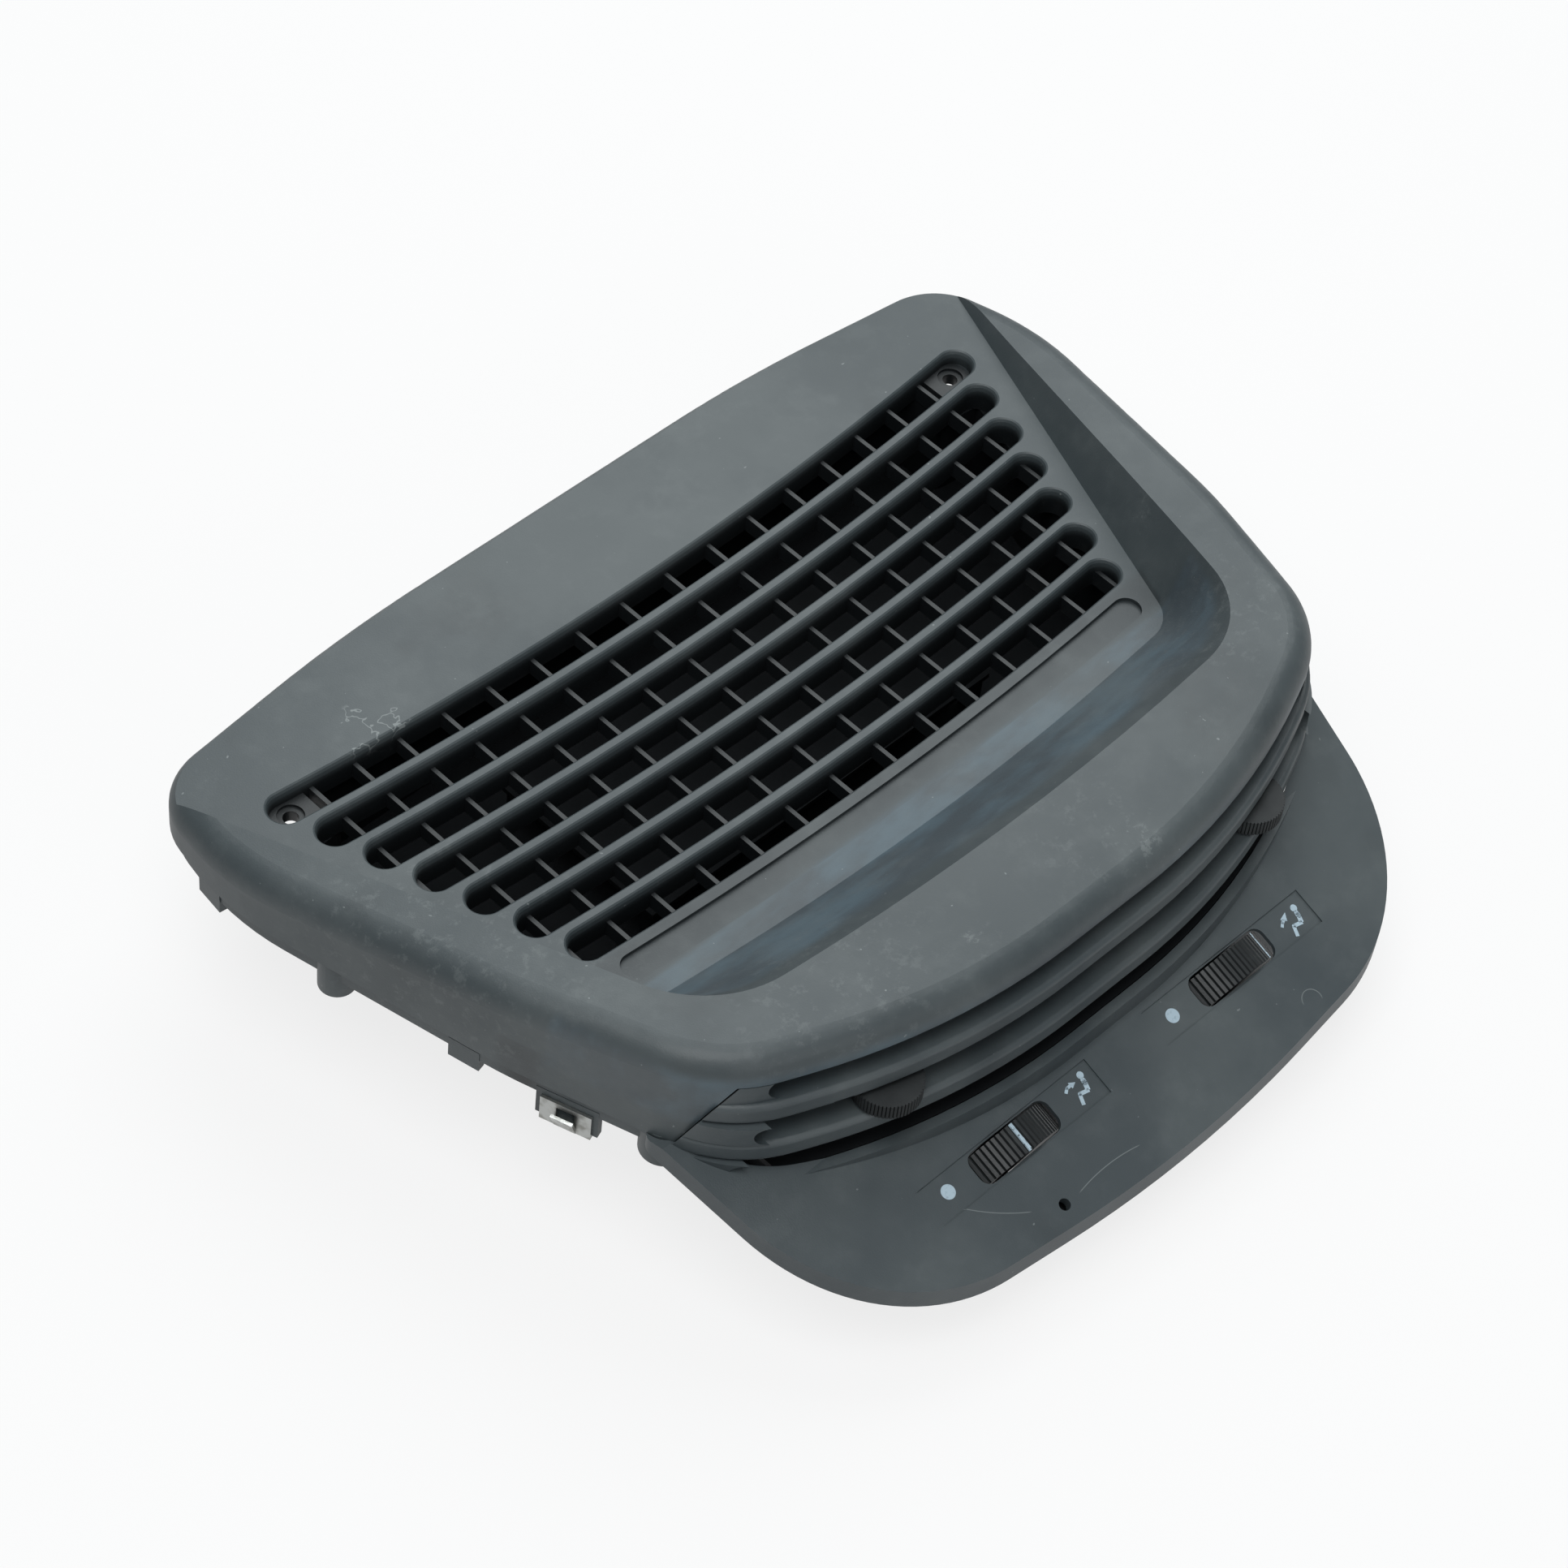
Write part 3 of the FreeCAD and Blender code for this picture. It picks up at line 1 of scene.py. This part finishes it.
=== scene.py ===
"""Looks of a dashboard centre air vent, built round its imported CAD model."""

import math

import bpy
from mathutils import Matrix, Vector


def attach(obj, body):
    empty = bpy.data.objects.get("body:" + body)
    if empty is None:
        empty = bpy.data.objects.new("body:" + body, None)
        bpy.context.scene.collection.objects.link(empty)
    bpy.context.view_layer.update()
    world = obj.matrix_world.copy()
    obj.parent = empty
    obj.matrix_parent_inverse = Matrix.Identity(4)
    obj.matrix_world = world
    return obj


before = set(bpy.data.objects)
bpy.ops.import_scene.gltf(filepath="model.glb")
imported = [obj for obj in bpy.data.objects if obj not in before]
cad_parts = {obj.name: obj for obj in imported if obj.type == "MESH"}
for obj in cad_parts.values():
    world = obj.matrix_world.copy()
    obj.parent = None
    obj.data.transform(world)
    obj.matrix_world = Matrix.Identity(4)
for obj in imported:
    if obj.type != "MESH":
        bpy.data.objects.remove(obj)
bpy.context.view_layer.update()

MM = 0.001
# The drawings measure from the middle of the rearmost slot; the part stands
# this much higher and further back.
STAND = Vector((0.0, 83.8285, 58.0))
APRON_SLOPE = math.radians(19.6)
APRON_DATUM = Vector((0.0, -178.5, -28.0))
APRON_THICKNESS = 3.0
HOLE_MIDDLE = (-41.2, -19.4)
LABEL_MIDDLE = 40.6
LABEL_FACE = -0.44
WHEEL_SINK = 16.7
WHEEL_MARK_TURNS = {"left": math.radians(2.0), "right": math.radians(38.0)}


def datum(x, y, z):
    """A point of the drawings in the scene, in metres."""
    return (Vector((x, y, z)) + STAND) * MM


def on_apron(across, up_slope, lift):
    """A point given on the apron face, in metres in the scene."""
    turn = Matrix.Rotation(APRON_SLOPE, 3, "X")
    point = APRON_DATUM + turn @ Vector((across, up_slope, lift))
    return datum(*point)


# Shader expressions

class Socket:
    """A shader output that can be used in sums, products and comparisons."""

    def __init__(self, shader, output):
        self.shader = shader
        self.output = output

    def math(self, operation, *others):
        inputs = {0: self, **dict(enumerate(others, 1))}
        return self.shader.node("ShaderNodeMath", {"operation": operation}, inputs)

    def __add__(self, other):
        return self.math("ADD", other)

    def __sub__(self, other):
        return self.math("SUBTRACT", other)

    def __mul__(self, other):
        return self.math("MULTIPLY", other)

    def __truediv__(self, other):
        return self.math("DIVIDE", other)

    def __rsub__(self, other):
        return self.shader.node("ShaderNodeMath", {"operation": "SUBTRACT"}, {0: other, 1: self})

    __radd__ = __add__
    __rmul__ = __mul__

    def ramp(self, low, high):
        """0 below low, 1 above high, smooth between."""
        settings = {"interpolation_type": "SMOOTHSTEP"}
        inputs = {"Value": self, "From Min": low, "From Max": high}
        return self.shader.node("ShaderNodeMapRange", settings, inputs)


class Shader:
    """One material and its node tree."""

    def __init__(self, name):
        self.material = bpy.data.materials.new(name)
        self.material.use_nodes = True
        self.tree = self.material.node_tree
        self.tree.nodes.clear()
        self.place = self.node("ShaderNodeTexCoord", {}, {}, "Object")

    def node(self, kind, settings, inputs, output=0):
        made = self.tree.nodes.new(kind)
        for name, value in settings.items():
            setattr(made, name, value)
        for name, value in inputs.items():
            if isinstance(value, Socket):
                self.tree.links.new(value.output, made.inputs[name])
            else:
                made.inputs[name].default_value = value
        return Socket(self, made.outputs[output])

    def noise(self, scale, detail=2.0, roughness=0.5, stretch=None):
        vector = self.place
        if stretch:
            vector = self.node("ShaderNodeMapping", {}, {"Vector": vector, **stretch})
        inputs = {"Vector": vector, "Scale": scale, "Detail": detail, "Roughness": roughness}
        return self.node("ShaderNodeTexNoise", {}, inputs)

    def mix(self, factor, first, second):
        return self.node("ShaderNodeMix", {"data_type": "RGBA"}, {0: factor, 6: first, 7: second}, 2)

    def distance(self, point):
        inputs = {0: self.place, 1: tuple(point)}
        return self.node("ShaderNodeVectorMath", {"operation": "DISTANCE"}, inputs, 1)

    def axis(self, name):
        return self.node("ShaderNodeSeparateXYZ", {}, {0: self.place}, name)

    def bump(self, height, distance, strength=1.0):
        inputs = {"Height": height, "Distance": distance, "Strength": strength}
        return self.node("ShaderNodeBump", {}, inputs)

    def finish(self, color, roughness, normal=None, metallic=0.0, specular=0.5):
        inputs = {"Base Color": color, "Roughness": roughness, "Metallic": metallic,
                  "Specular IOR Level": specular}
        if normal:
            inputs["Normal"] = normal
        return self.show(self.node("ShaderNodeBsdfPrincipled", {}, inputs))

    def show(self, surface):
        output = self.tree.nodes.new("ShaderNodeOutputMaterial")
        self.tree.links.new(surface.output, output.inputs["Surface"])
        return self.material


def band(value, low, high, soft):
    """1 between low and high, falling to 0 over the soft width on both sides; all in metres."""
    return value.ramp(low - soft, low + soft) * (1 - value.ramp(high - soft, high + soft))


# Colours

def shade(red, green, blue):
    return (red, green, blue, 1.0)


def darker(grey):
    return shade(*(0.62 * channel for channel in grey[:3]))


HOOD_GREY = shade(0.036, 0.046, 0.050)
BEZEL_GREY = shade(0.036, 0.046, 0.051)
VANE_GREY = shade(0.030, 0.036, 0.039)
KNOB_BLACK = shade(0.006, 0.008, 0.009)
WHEEL_BLACK = shade(0.008, 0.010, 0.011)
DUCT_BLACK = shade(0.004, 0.005, 0.006)
# Painted shade down inside the grille slots.
SLOT_SHADE_BLACK = shade(0.002, 0.003, 0.004)
DUST_GREY = shade(0.095, 0.108, 0.110)
# Near black: painted shade on the hood strip behind the grille, and the dark of the foam cells.
SHADE_AND_FOAM_DARK = shade(0.012, 0.014, 0.016)
# Painted bluish sheen of the front slope, in a bright and a dim strength.
SLOPE_SHEEN_BLUE = shade(0.056, 0.086, 0.106)
SLOPE_SHEEN_DIM = shade(0.035, 0.046, 0.054)
PALE_MARK = shade(0.20, 0.22, 0.22)
PRINT_WHITE = shade(0.33, 0.42, 0.48)
PRINT_WORN = shade(0.24, 0.31, 0.36)
FOAM_GREY = shade(0.05, 0.05, 0.052)
ZINC = shade(0.40, 0.41, 0.40)
ZINC_STAINED = shade(0.26, 0.26, 0.24)


# Masks on the mouldings

def slot_shade_depth(shader):
    """How far a point lies down in the grille slots, 0 to 1; it masks painted shade, which starts a little
    way down.
    """
    middle = datum(0.0, -40.0, 0.0)
    inside = 1 - (shader.axis("X") - middle.x).math("ABSOLUTE").ramp(0.123, 0.127)
    along = 1 - (shader.axis("Y") - middle.y).math("ABSOLUTE").ramp(0.051, 0.056)
    down = (middle.z - shader.axis("Z")).ramp(0.0003, 0.0045)
    return inside * along * down * 0.92


def hood_sheen_and_shade(shader, color):
    """Painted bluish sheen on the slope ahead of the grille, and painted shade on the strip behind it."""
    depth, height = shader.axis("Y"), shader.axis("Z")
    # Painted sheen: blotched bluish colour on the slope rising ahead of the grille.
    foot, top = datum(0, -98.5, -2.0), datum(0, -140.0, 15.5)
    ahead = 1 - depth.ramp(foot.y - 0.001, foot.y + 0.001)
    rising = band(height, foot.z, top.z, 0.0018)
    blotches = shader.noise(38.0, 4.0, 0.65, {"Scale": (0.6, 1.5, 1.0)}).ramp(0.38, 0.66)
    slope = shader.mix(blotches, SLOPE_SHEEN_DIM, SLOPE_SHEEN_BLUE)
    color = shader.mix(ahead * rising * 0.9, color, slope)
    # Painted shade on the low strip just behind the grille.
    rear, front = datum(0, -86.0, 0.0), datum(0, -97.0, 0.0)
    strip = band(depth, front.y, rear.y, 0.002) * (1 - height.ramp(rear.z + 0.0006, rear.z + 0.0016))
    return shader.mix(strip * 0.5, color, SHADE_AND_FOAM_DARK)


def contour_stain(shader, point, radius):
    """Thin wavy edge of a dried splash."""
    near = 1 - shader.distance(point).ramp(radius * 0.75 * MM, radius * MM)
    level = (shader.noise(95.0, 3.0, 0.6) - 0.5).math("ABSOLUTE")
    return near * (1 - level.ramp(0.004, 0.014))


def hairline(shader, points, width=0.16):
    """Arc scratched through three scene positions that don't line up."""
    first, middle, last = (Vector(point) for point in points)
    side, other = first - middle, last - middle
    normal = side.cross(other)
    toward = side.length_squared * other.cross(normal) + other.length_squared * normal.cross(side)
    centre = middle + toward / (2 * normal.length_squared)
    radius = (middle - centre).length
    off = (shader.distance(centre) - radius).math("ABSOLUTE")
    reach = max(side.length, other.length)
    near = 1 - shader.distance(middle).ramp(reach * 0.85, reach)
    return near * (1 - off.ramp(width * 0.4 * MM, width * MM))


# Finishes

def dusty_plastic(name, grey, wear=(), stains=(), scratches=(), depth=None, painted_light=None):
    """Grained plastic with settled dust, stains and rubbed places, plus painted sheen and painted shade
    where given; wear lists (point, radius, strength).
    """
    shader = Shader(name)
    cloudy = shader.noise(14.0, 5.0, 0.62).ramp(0.40, 0.66) * 0.34
    fine = shader.noise(85.0, 4.0, 0.65).ramp(0.48, 0.74) * 0.16
    dust = cloudy + fine
    for point, radius, strength in wear:
        near = 1 - shader.distance(point).ramp(radius * 0.2 * MM, radius * MM)
        rubbed = shader.noise(260.0, 5.0, 0.75).ramp(0.52, 0.66)
        dust = dust + near * rubbed * strength
    smudges = shader.noise(24.0, 3.0, 0.6, {"Location": (3.1, 0.7, 1.9)}).ramp(0.56, 0.70) * 0.45
    color = shader.mix(smudges, grey, darker(grey))
    # Painted sheen and painted shade of the hood, where given.
    if painted_light:
        color = painted_light(shader, color)
    color = shader.mix(dust, color, DUST_GREY)
    marks = shader.noise(650.0, 1.0).ramp(0.79, 0.82) * 0.5
    for point, radius in stains:
        marks = marks + contour_stain(shader, point, radius) * 0.6
    for points in scratches:
        marks = marks + hairline(shader, points) * 0.5
    color = shader.mix(marks.math("MINIMUM", 1.0), color, PALE_MARK)
    # Painted shade: darkens the plastic down in the grille slots.
    if depth:
        color = shader.mix(depth(shader), color, SLOT_SHADE_BLACK)
    grain = shader.noise(2300.0, 1.0) * 0.7 + shader.noise(700.0, 2.0) * 0.3
    roughness = shader.noise(30.0, 3.0) * 0.12 + 0.44
    return shader.finish(color, roughness, shader.bump(grain, 0.00012, 0.35), specular=0.45)


def plain_plastic(name, grey, roughness):
    shader = Shader(name)
    dust = shader.noise(80.0, 3.0).ramp(0.5, 0.8) * 0.12
    grain = shader.noise(1500.0, 1.0)
    return shader.finish(shader.mix(dust, grey, DUST_GREY), roughness, shader.bump(grain, 0.0001, 0.2))


def duct_plastic():
    """Black plastic of the ducts, clean and dull."""
    shader = Shader("duct_plastic")
    grain = shader.noise(1500.0, 1.0)
    return shader.finish(DUCT_BLACK, 0.8, shader.bump(grain, 0.0001, 0.2), specular=0.15)


def wheel_plastic(side_name, side):
    """Thumbwheel plastic with a white line painted across the ribs."""
    shader = Shader(f"{side_name}_wheel_plastic")
    centre = on_apron(side * LABEL_MIDDLE, 0.0, -WHEEL_SINK)
    across = shader.axis("X") - centre.x
    ahead = (shader.axis("Y") - centre.y) * -math.sin(APRON_SLOPE)
    outward = ahead + (shader.axis("Z") - centre.z) * math.cos(APRON_SLOPE)
    off = (across.math("ARCTAN2", outward) - WHEEL_MARK_TURNS[side_name]).math("ABSOLUTE")
    radius = (across * across + outward * outward).math("SQRT")
    line = (1 - off.ramp(0.024, 0.030)) * radius.ramp(0.0172, 0.0176)
    worn = shader.noise(900.0, 2.0).ramp(0.28, 0.45)
    dust = shader.noise(200.0, 3.0).ramp(0.5, 0.78) * 0.12
    base = shader.mix(dust, WHEEL_BLACK, DUST_GREY)
    grain = shader.noise(1800.0, 1.0)
    return shader.finish(shader.mix(line * worn, base, PRINT_WHITE), 0.5, shader.bump(grain, 0.0001, 0.3))


def foam_finish():
    shader = Shader("foam")
    cells = shader.noise(1400.0, 3.0, 0.7)
    return shader.finish(shader.mix(cells, SHADE_AND_FOAM_DARK, FOAM_GREY), 0.95, shader.bump(cells, 0.0005, 0.8))


def steel_finish():
    shader = Shader("zinc_plate")
    stain = shader.noise(300.0, 3.0).ramp(0.4, 0.7)
    return shader.finish(shader.mix(stain, ZINC, ZINC_STAINED), stain * 0.2 + 0.36, metallic=1.0)


def print_finish():
    shader = Shader("white_print")
    worn = shader.noise(1200.0, 2.0).ramp(0.25, 0.5)
    return shader.finish(shader.mix(worn, PRINT_WORN, PRINT_WHITE), 0.5)


# Rubbed places of the hood: point, radius in mm and strength.
HOOD_WEAR = [
    (datum(-118.0, -60.0, 10.0), 62.0, 0.45),
    (datum(-70.0, -140.0, 20.0), 45.0, 0.35),
    (datum(92.0, -118.0, 20.0), 36.0, 0.35),
    (datum(-127.8, 19.1, 4.0), 8.0, 0.5),
    (datum(106.1, -75.7, 12.0), 9.0, 0.8),
    (datum(17.9, -156.6, 18.0), 9.0, 1.0),
    (datum(-34.2, -150.9, 18.0), 8.0, 0.9),
    (datum(10.0, -148.0, 18.0), 30.0, 0.3),
]
HOOD_STAINS = [(datum(-87.3, 5.3, 0.5), 11.0)]
APRON_SCRATCHES = [
    [on_apron(-36.4, -19.6, 0), on_apron(-25.0, -18.6, 0), on_apron(-14.7, -19.7, 0)],
    [on_apron(-63.4, -4.9, 0), on_apron(-57.0, -10.8, 0), on_apron(-49.3, -15.9, 0)],
    [on_apron(49.6, -19.1, 0), on_apron(53.4, -16.4, 0), on_apron(55.5, -19.6, 0)],
]

duct_finish = duct_plastic()
white_print = print_finish()
node_finishes = {
    "top_cover": dusty_plastic("hood_plastic", HOOD_GREY, HOOD_WEAR, HOOD_STAINS, depth=slot_shade_depth,
                               painted_light=hood_sheen_and_shade),
    "front_bezel": dusty_plastic("bezel_plastic", BEZEL_GREY, scratches=APRON_SCRATCHES),
    "outlet_box": duct_finish,
    "demister_chamber": duct_finish,
    "left_thumbwheel": wheel_plastic("left", -1),
    "right_thumbwheel": wheel_plastic("right", 1),
}
foam, steel = foam_finish(), steel_finish()
kind_finishes = {
    "gasket": foam, "seal": foam, "screw": steel, "clip": steel, "bush": steel,
    "knob": plain_plastic("knob_plastic", KNOB_BLACK, 0.6),
}
vane_finish = plain_plastic("vane_plastic", VANE_GREY, 0.55)


def finish_of(name):
    """Finish of a CAD node: its own, else that of its kind, else the vanes' plastic."""
    if name in node_finishes:
        return node_finishes[name]
    kinds = [finish for kind, finish in kind_finishes.items() if kind in name]
    return kinds[0] if kinds else vane_finish


for name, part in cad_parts.items():
    part.data.materials.clear()
    part.data.materials.append(finish_of(name))


# Pieces of the scene

def piece(name, vertices, faces, material):
    mesh = bpy.data.meshes.new(name)
    mesh.from_pydata(vertices, [], faces)
    mesh.materials.append(material)
    made = bpy.data.objects.new(name, mesh)
    bpy.context.scene.collection.objects.link(made)
    return made


def circle(x, y, radius, count):
    turns = [2 * math.pi * n / count for n in range(count)]
    return [(x + radius * math.cos(turn), y + radius * math.sin(turn)) for turn in turns]


# Printed marks on the apron labels, in mm across the label and up its slope

def printed(name, outlines):
    """Flat marks on a label, one face for each outline."""
    vertices = []
    faces = []
    for outline in outlines:
        faces.append(list(range(len(vertices), len(vertices) + len(outline))))
        vertices += [on_apron(x, y, LABEL_FACE) for x, y in outline]
    made = piece(name, vertices, faces, white_print)
    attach(made, "housing")


def stroke(start, stop, width):
    """Straight bar between two points."""
    along = Vector(stop) - Vector(start)
    across = Vector((-along.y, along.x)).normalized() * width / 2
    return [tuple(Vector(start) + across), tuple(Vector(start) - across),
            tuple(Vector(stop) - across), tuple(Vector(stop) + across)]


def bent_bar(points, width):
    """Bar through several points, with round joints."""
    outlines = [stroke(start, stop, width) for start, stop in zip(points, points[1:])]
    return outlines + [circle(x, y, width / 2, 12) for x, y in points[1:-1]]


def seated_figure(x, y):
    """Pictogram of a seated person facing left; x, y is the middle of the head."""
    shoulder, waist, hip = (x - 0.25, y - 1.35), (x - 0.35, y - 2.3), (x - 0.95, y - 4.1)
    seat, knee, foot = (x - 0.7, y - 4.2), (x - 3.55, y - 3.6), (x - 4.6, y - 6.3)
    head = circle(x, y, 1.0, 20)
    return [head, *bent_bar([shoulder, waist, hip], 1.35), *bent_bar([seat, knee, foot], 1.05),
            circle(*shoulder, 0.67, 12)]


def air_arrow(points, tip, barbs):
    """Bent arrow whose head ends at the tip; barbs are the two back corners of the head."""
    return [*bent_bar(points, 0.85), [barbs[0], barbs[1], tip]]


def closed_dot(x, y):
    return circle(x, y, 1.97, 32)


printed("left_pictogram", [
    *seated_figure(-14.2, 2.76),
    *air_arrow([(-20.7, 1.35), (-19.6, 2.2), (-18.2, 2.25)], (-16.55, 2.15), [(-18.4, 3.15), (-18.25, 1.3)]),
    closed_dot(-63.6, 0.67),
])
printed("right_pictogram", [
    *seated_figure(66.7, 1.97),
    *air_arrow([(60.1, -0.1), (61.1, 0.75), (62.0, 1.15)], (63.75, 2.5), [(61.2, 1.75), (62.6, 0.35)]),
    closed_dot(17.64, -0.1),
])


# Dark cup behind the small hole in the apron, put there so the hole shows dark as shade

def hole_shade_cup():
    """Cup turned from (radius, height) points; it seats on the apron's underside."""
    profile = [(1.9, -4.8), (1.9, -APRON_THICKNESS), (2.7, -APRON_THICKNESS), (2.7, -5.6)]
    levels = len(profile)
    steps = 24
    rings = [circle(*HOLE_MIDDLE, radius, steps) for radius, height in profile]
    vertices = [on_apron(*HOLE_MIDDLE, profile[0][1]), on_apron(*HOLE_MIDDLE, profile[-1][1])]
    faces = []
    for n in range(steps):
        vertices += [on_apron(*ring[n], height) for ring, (radius, height) in zip(rings, profile)]
        here = 2 + n * levels
        following = 2 + (n + 1) % steps * levels
        faces += [(0, here, following), (1, following + levels - 1, here + levels - 1)]
        faces += [(here + level, here + level + 1, following + level + 1, following + level)
                  for level in range(levels - 1)]
    made = piece("hole_shade_cup", vertices, faces, duct_finish)
    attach(made, "housing")


hole_shade_cup()


# Floor, light and camera

FLOOR_HALF = 6.0
# Share of plain white that a direct look at the floor gets, away from the painted patch of shade under the
# apron.
FLOOR_GLOW = 0.8
# Ellipse under the apron where the floor's glow is left out, a painted patch of shade.
UNDER_APRON = {"x": 0.030, "y": -0.070, "half_width": 0.075, "half_depth": 0.035}
# Place, size across and up, power in watts and colour.
LAMPS = {
    "rear_softbox": ((0.66, 0.58, 1.08), (0, 0, 0.03), 1.1, 1.1, 15.0, (0.94, 0.99, 1.0)),
    "top_softbox": ((-0.42, -0.15, 1.35), (0, 0, 0.05), 0.9, 0.9, 14.0, (0.98, 1.0, 1.0)),
    "front_fill": ((-0.3, -1.1, 0.6), (0, 0, 0.05), 0.8, 0.5, 3.0, (1.0, 1.0, 1.0)),
}


def floor_paper():
    shader = Shader("floor_paper")
    paper = shader.node("ShaderNodeBsdfDiffuse", {}, {"Color": shade(0.62, 0.62, 0.62)})
    glow = shader.node("ShaderNodeEmission", {}, {"Color": shade(1, 1, 1), "Strength": 1.0})
    seen, glossy, through = (shader.node("ShaderNodeLightPath", {}, {}, kind)
                             for kind in ("Is Camera Ray", "Is Glossy Ray", "Is Transmission Ray"))
    direct = seen.math("MAXIMUM", glossy).math("MAXIMUM", through)
    across = (shader.axis("X") - UNDER_APRON["x"]) / UNDER_APRON["half_width"]
    along = (shader.axis("Y") - UNDER_APRON["y"]) / UNDER_APRON["half_depth"]
    # Outside the ellipse the glow shows; inside it the floor is darker as painted shade.
    open_floor = (across * across + along * along).ramp(0.8, 1.0)
    factor = direct * open_floor * FLOOR_GLOW
    return shader.show(shader.node("ShaderNodeMixShader", {}, {0: factor, 1: paper, 2: glow}))


def floor():
    corners = [(-1, -1), (1, -1), (1, 1), (-1, 1)]
    vertices = [(x * FLOOR_HALF, y * FLOOR_HALF, 0) for x, y in corners]
    made = piece("floor", vertices, [(0, 1, 2, 3)], floor_paper())


def lamp(name, place, target, width, height, power, color):
    data = bpy.data.lights.new(name, "AREA")
    data.shape = "RECTANGLE"
    data.size = width
    data.size_y = height
    data.energy = power
    data.color = color
    made = bpy.data.objects.new(name, data)
    made.location = place
    made.rotation_euler = (Vector(target) - Vector(place)).to_track_quat("-Z", "Y").to_euler()
    bpy.context.scene.collection.objects.link(made)


def background(tree, color, strength):
    made = tree.nodes.new("ShaderNodeBackground")
    made.inputs["Color"].default_value = color
    made.inputs["Strength"].default_value = strength
    return made


def sky():
    """White where it is seen, a dim cool light elsewhere."""
    world = bpy.data.worlds.new("studio")
    bpy.context.scene.world = world
    world.use_nodes = True
    tree = world.node_tree
    tree.nodes.clear()
    path = tree.nodes.new("ShaderNodeLightPath")
    dim = background(tree, shade(0.92, 0.96, 1.0), 0.27)
    white = background(tree, shade(1, 1, 1), 1.0)
    seen = tree.nodes.new("ShaderNodeMath")
    seen.operation = "MAXIMUM"
    mix = tree.nodes.new("ShaderNodeMixShader")
    out = tree.nodes.new("ShaderNodeOutputWorld")
    tree.links.new(path.outputs["Is Camera Ray"], seen.inputs[0])
    tree.links.new(path.outputs["Is Transmission Ray"], seen.inputs[1])
    tree.links.new(seen.outputs[0], mix.inputs[0])
    tree.links.new(dim.outputs[0], mix.inputs[1])
    tree.links.new(white.outputs[0], mix.inputs[2])
    tree.links.new(mix.outputs[0], out.inputs["Surface"])


# Camera solved from the photograph: it looks from the left front, rolled a little.
CAMERA_AZIMUTH, CAMERA_ELEVATION, CAMERA_ROLL = math.radians(-50.5), math.radians(50.0), math.radians(7.4)
CAMERA_ACROSS, CAMERA_DOWN, CAMERA_BACK = 78.5, 89.0, 1125.0
CAMERA_TARGET = Vector((0, 57.9, 0.4))
FOCAL_PIXELS, PHOTO_PIXELS, SENSOR_WIDTH = 5196.0, 1932.0, 36.0


def camera():
    right = Vector((math.cos(CAMERA_AZIMUTH), math.sin(CAMERA_AZIMUTH), 0))
    level = math.cos(CAMERA_ELEVATION)
    back = Vector((right.y * level, -right.x * level, math.sin(CAMERA_ELEVATION)))
    up = back.cross(right)
    across = right * math.cos(CAMERA_ROLL) + up * math.sin(CAMERA_ROLL)
    upright = up * math.cos(CAMERA_ROLL) - right * math.sin(CAMERA_ROLL)
    place = CAMERA_ACROSS * across - CAMERA_DOWN * upright + CAMERA_BACK * back + CAMERA_TARGET
    data = bpy.data.cameras.new("camera")
    data.sensor_fit = "HORIZONTAL"
    data.sensor_width = SENSOR_WIDTH
    data.lens = FOCAL_PIXELS / PHOTO_PIXELS * SENSOR_WIDTH
    data.clip_end = 20.0
    made = bpy.data.objects.new("camera", data)
    turn = Matrix((across, upright, back)).transposed().to_4x4()
    made.matrix_world = Matrix.Translation(datum(*place)) @ turn
    bpy.context.scene.collection.objects.link(made)
    bpy.context.scene.camera = made


floor()
sky()
for name, settings in LAMPS.items():
    lamp(name, *settings)
camera()
bpy.context.scene.view_settings.view_transform = "Standard"
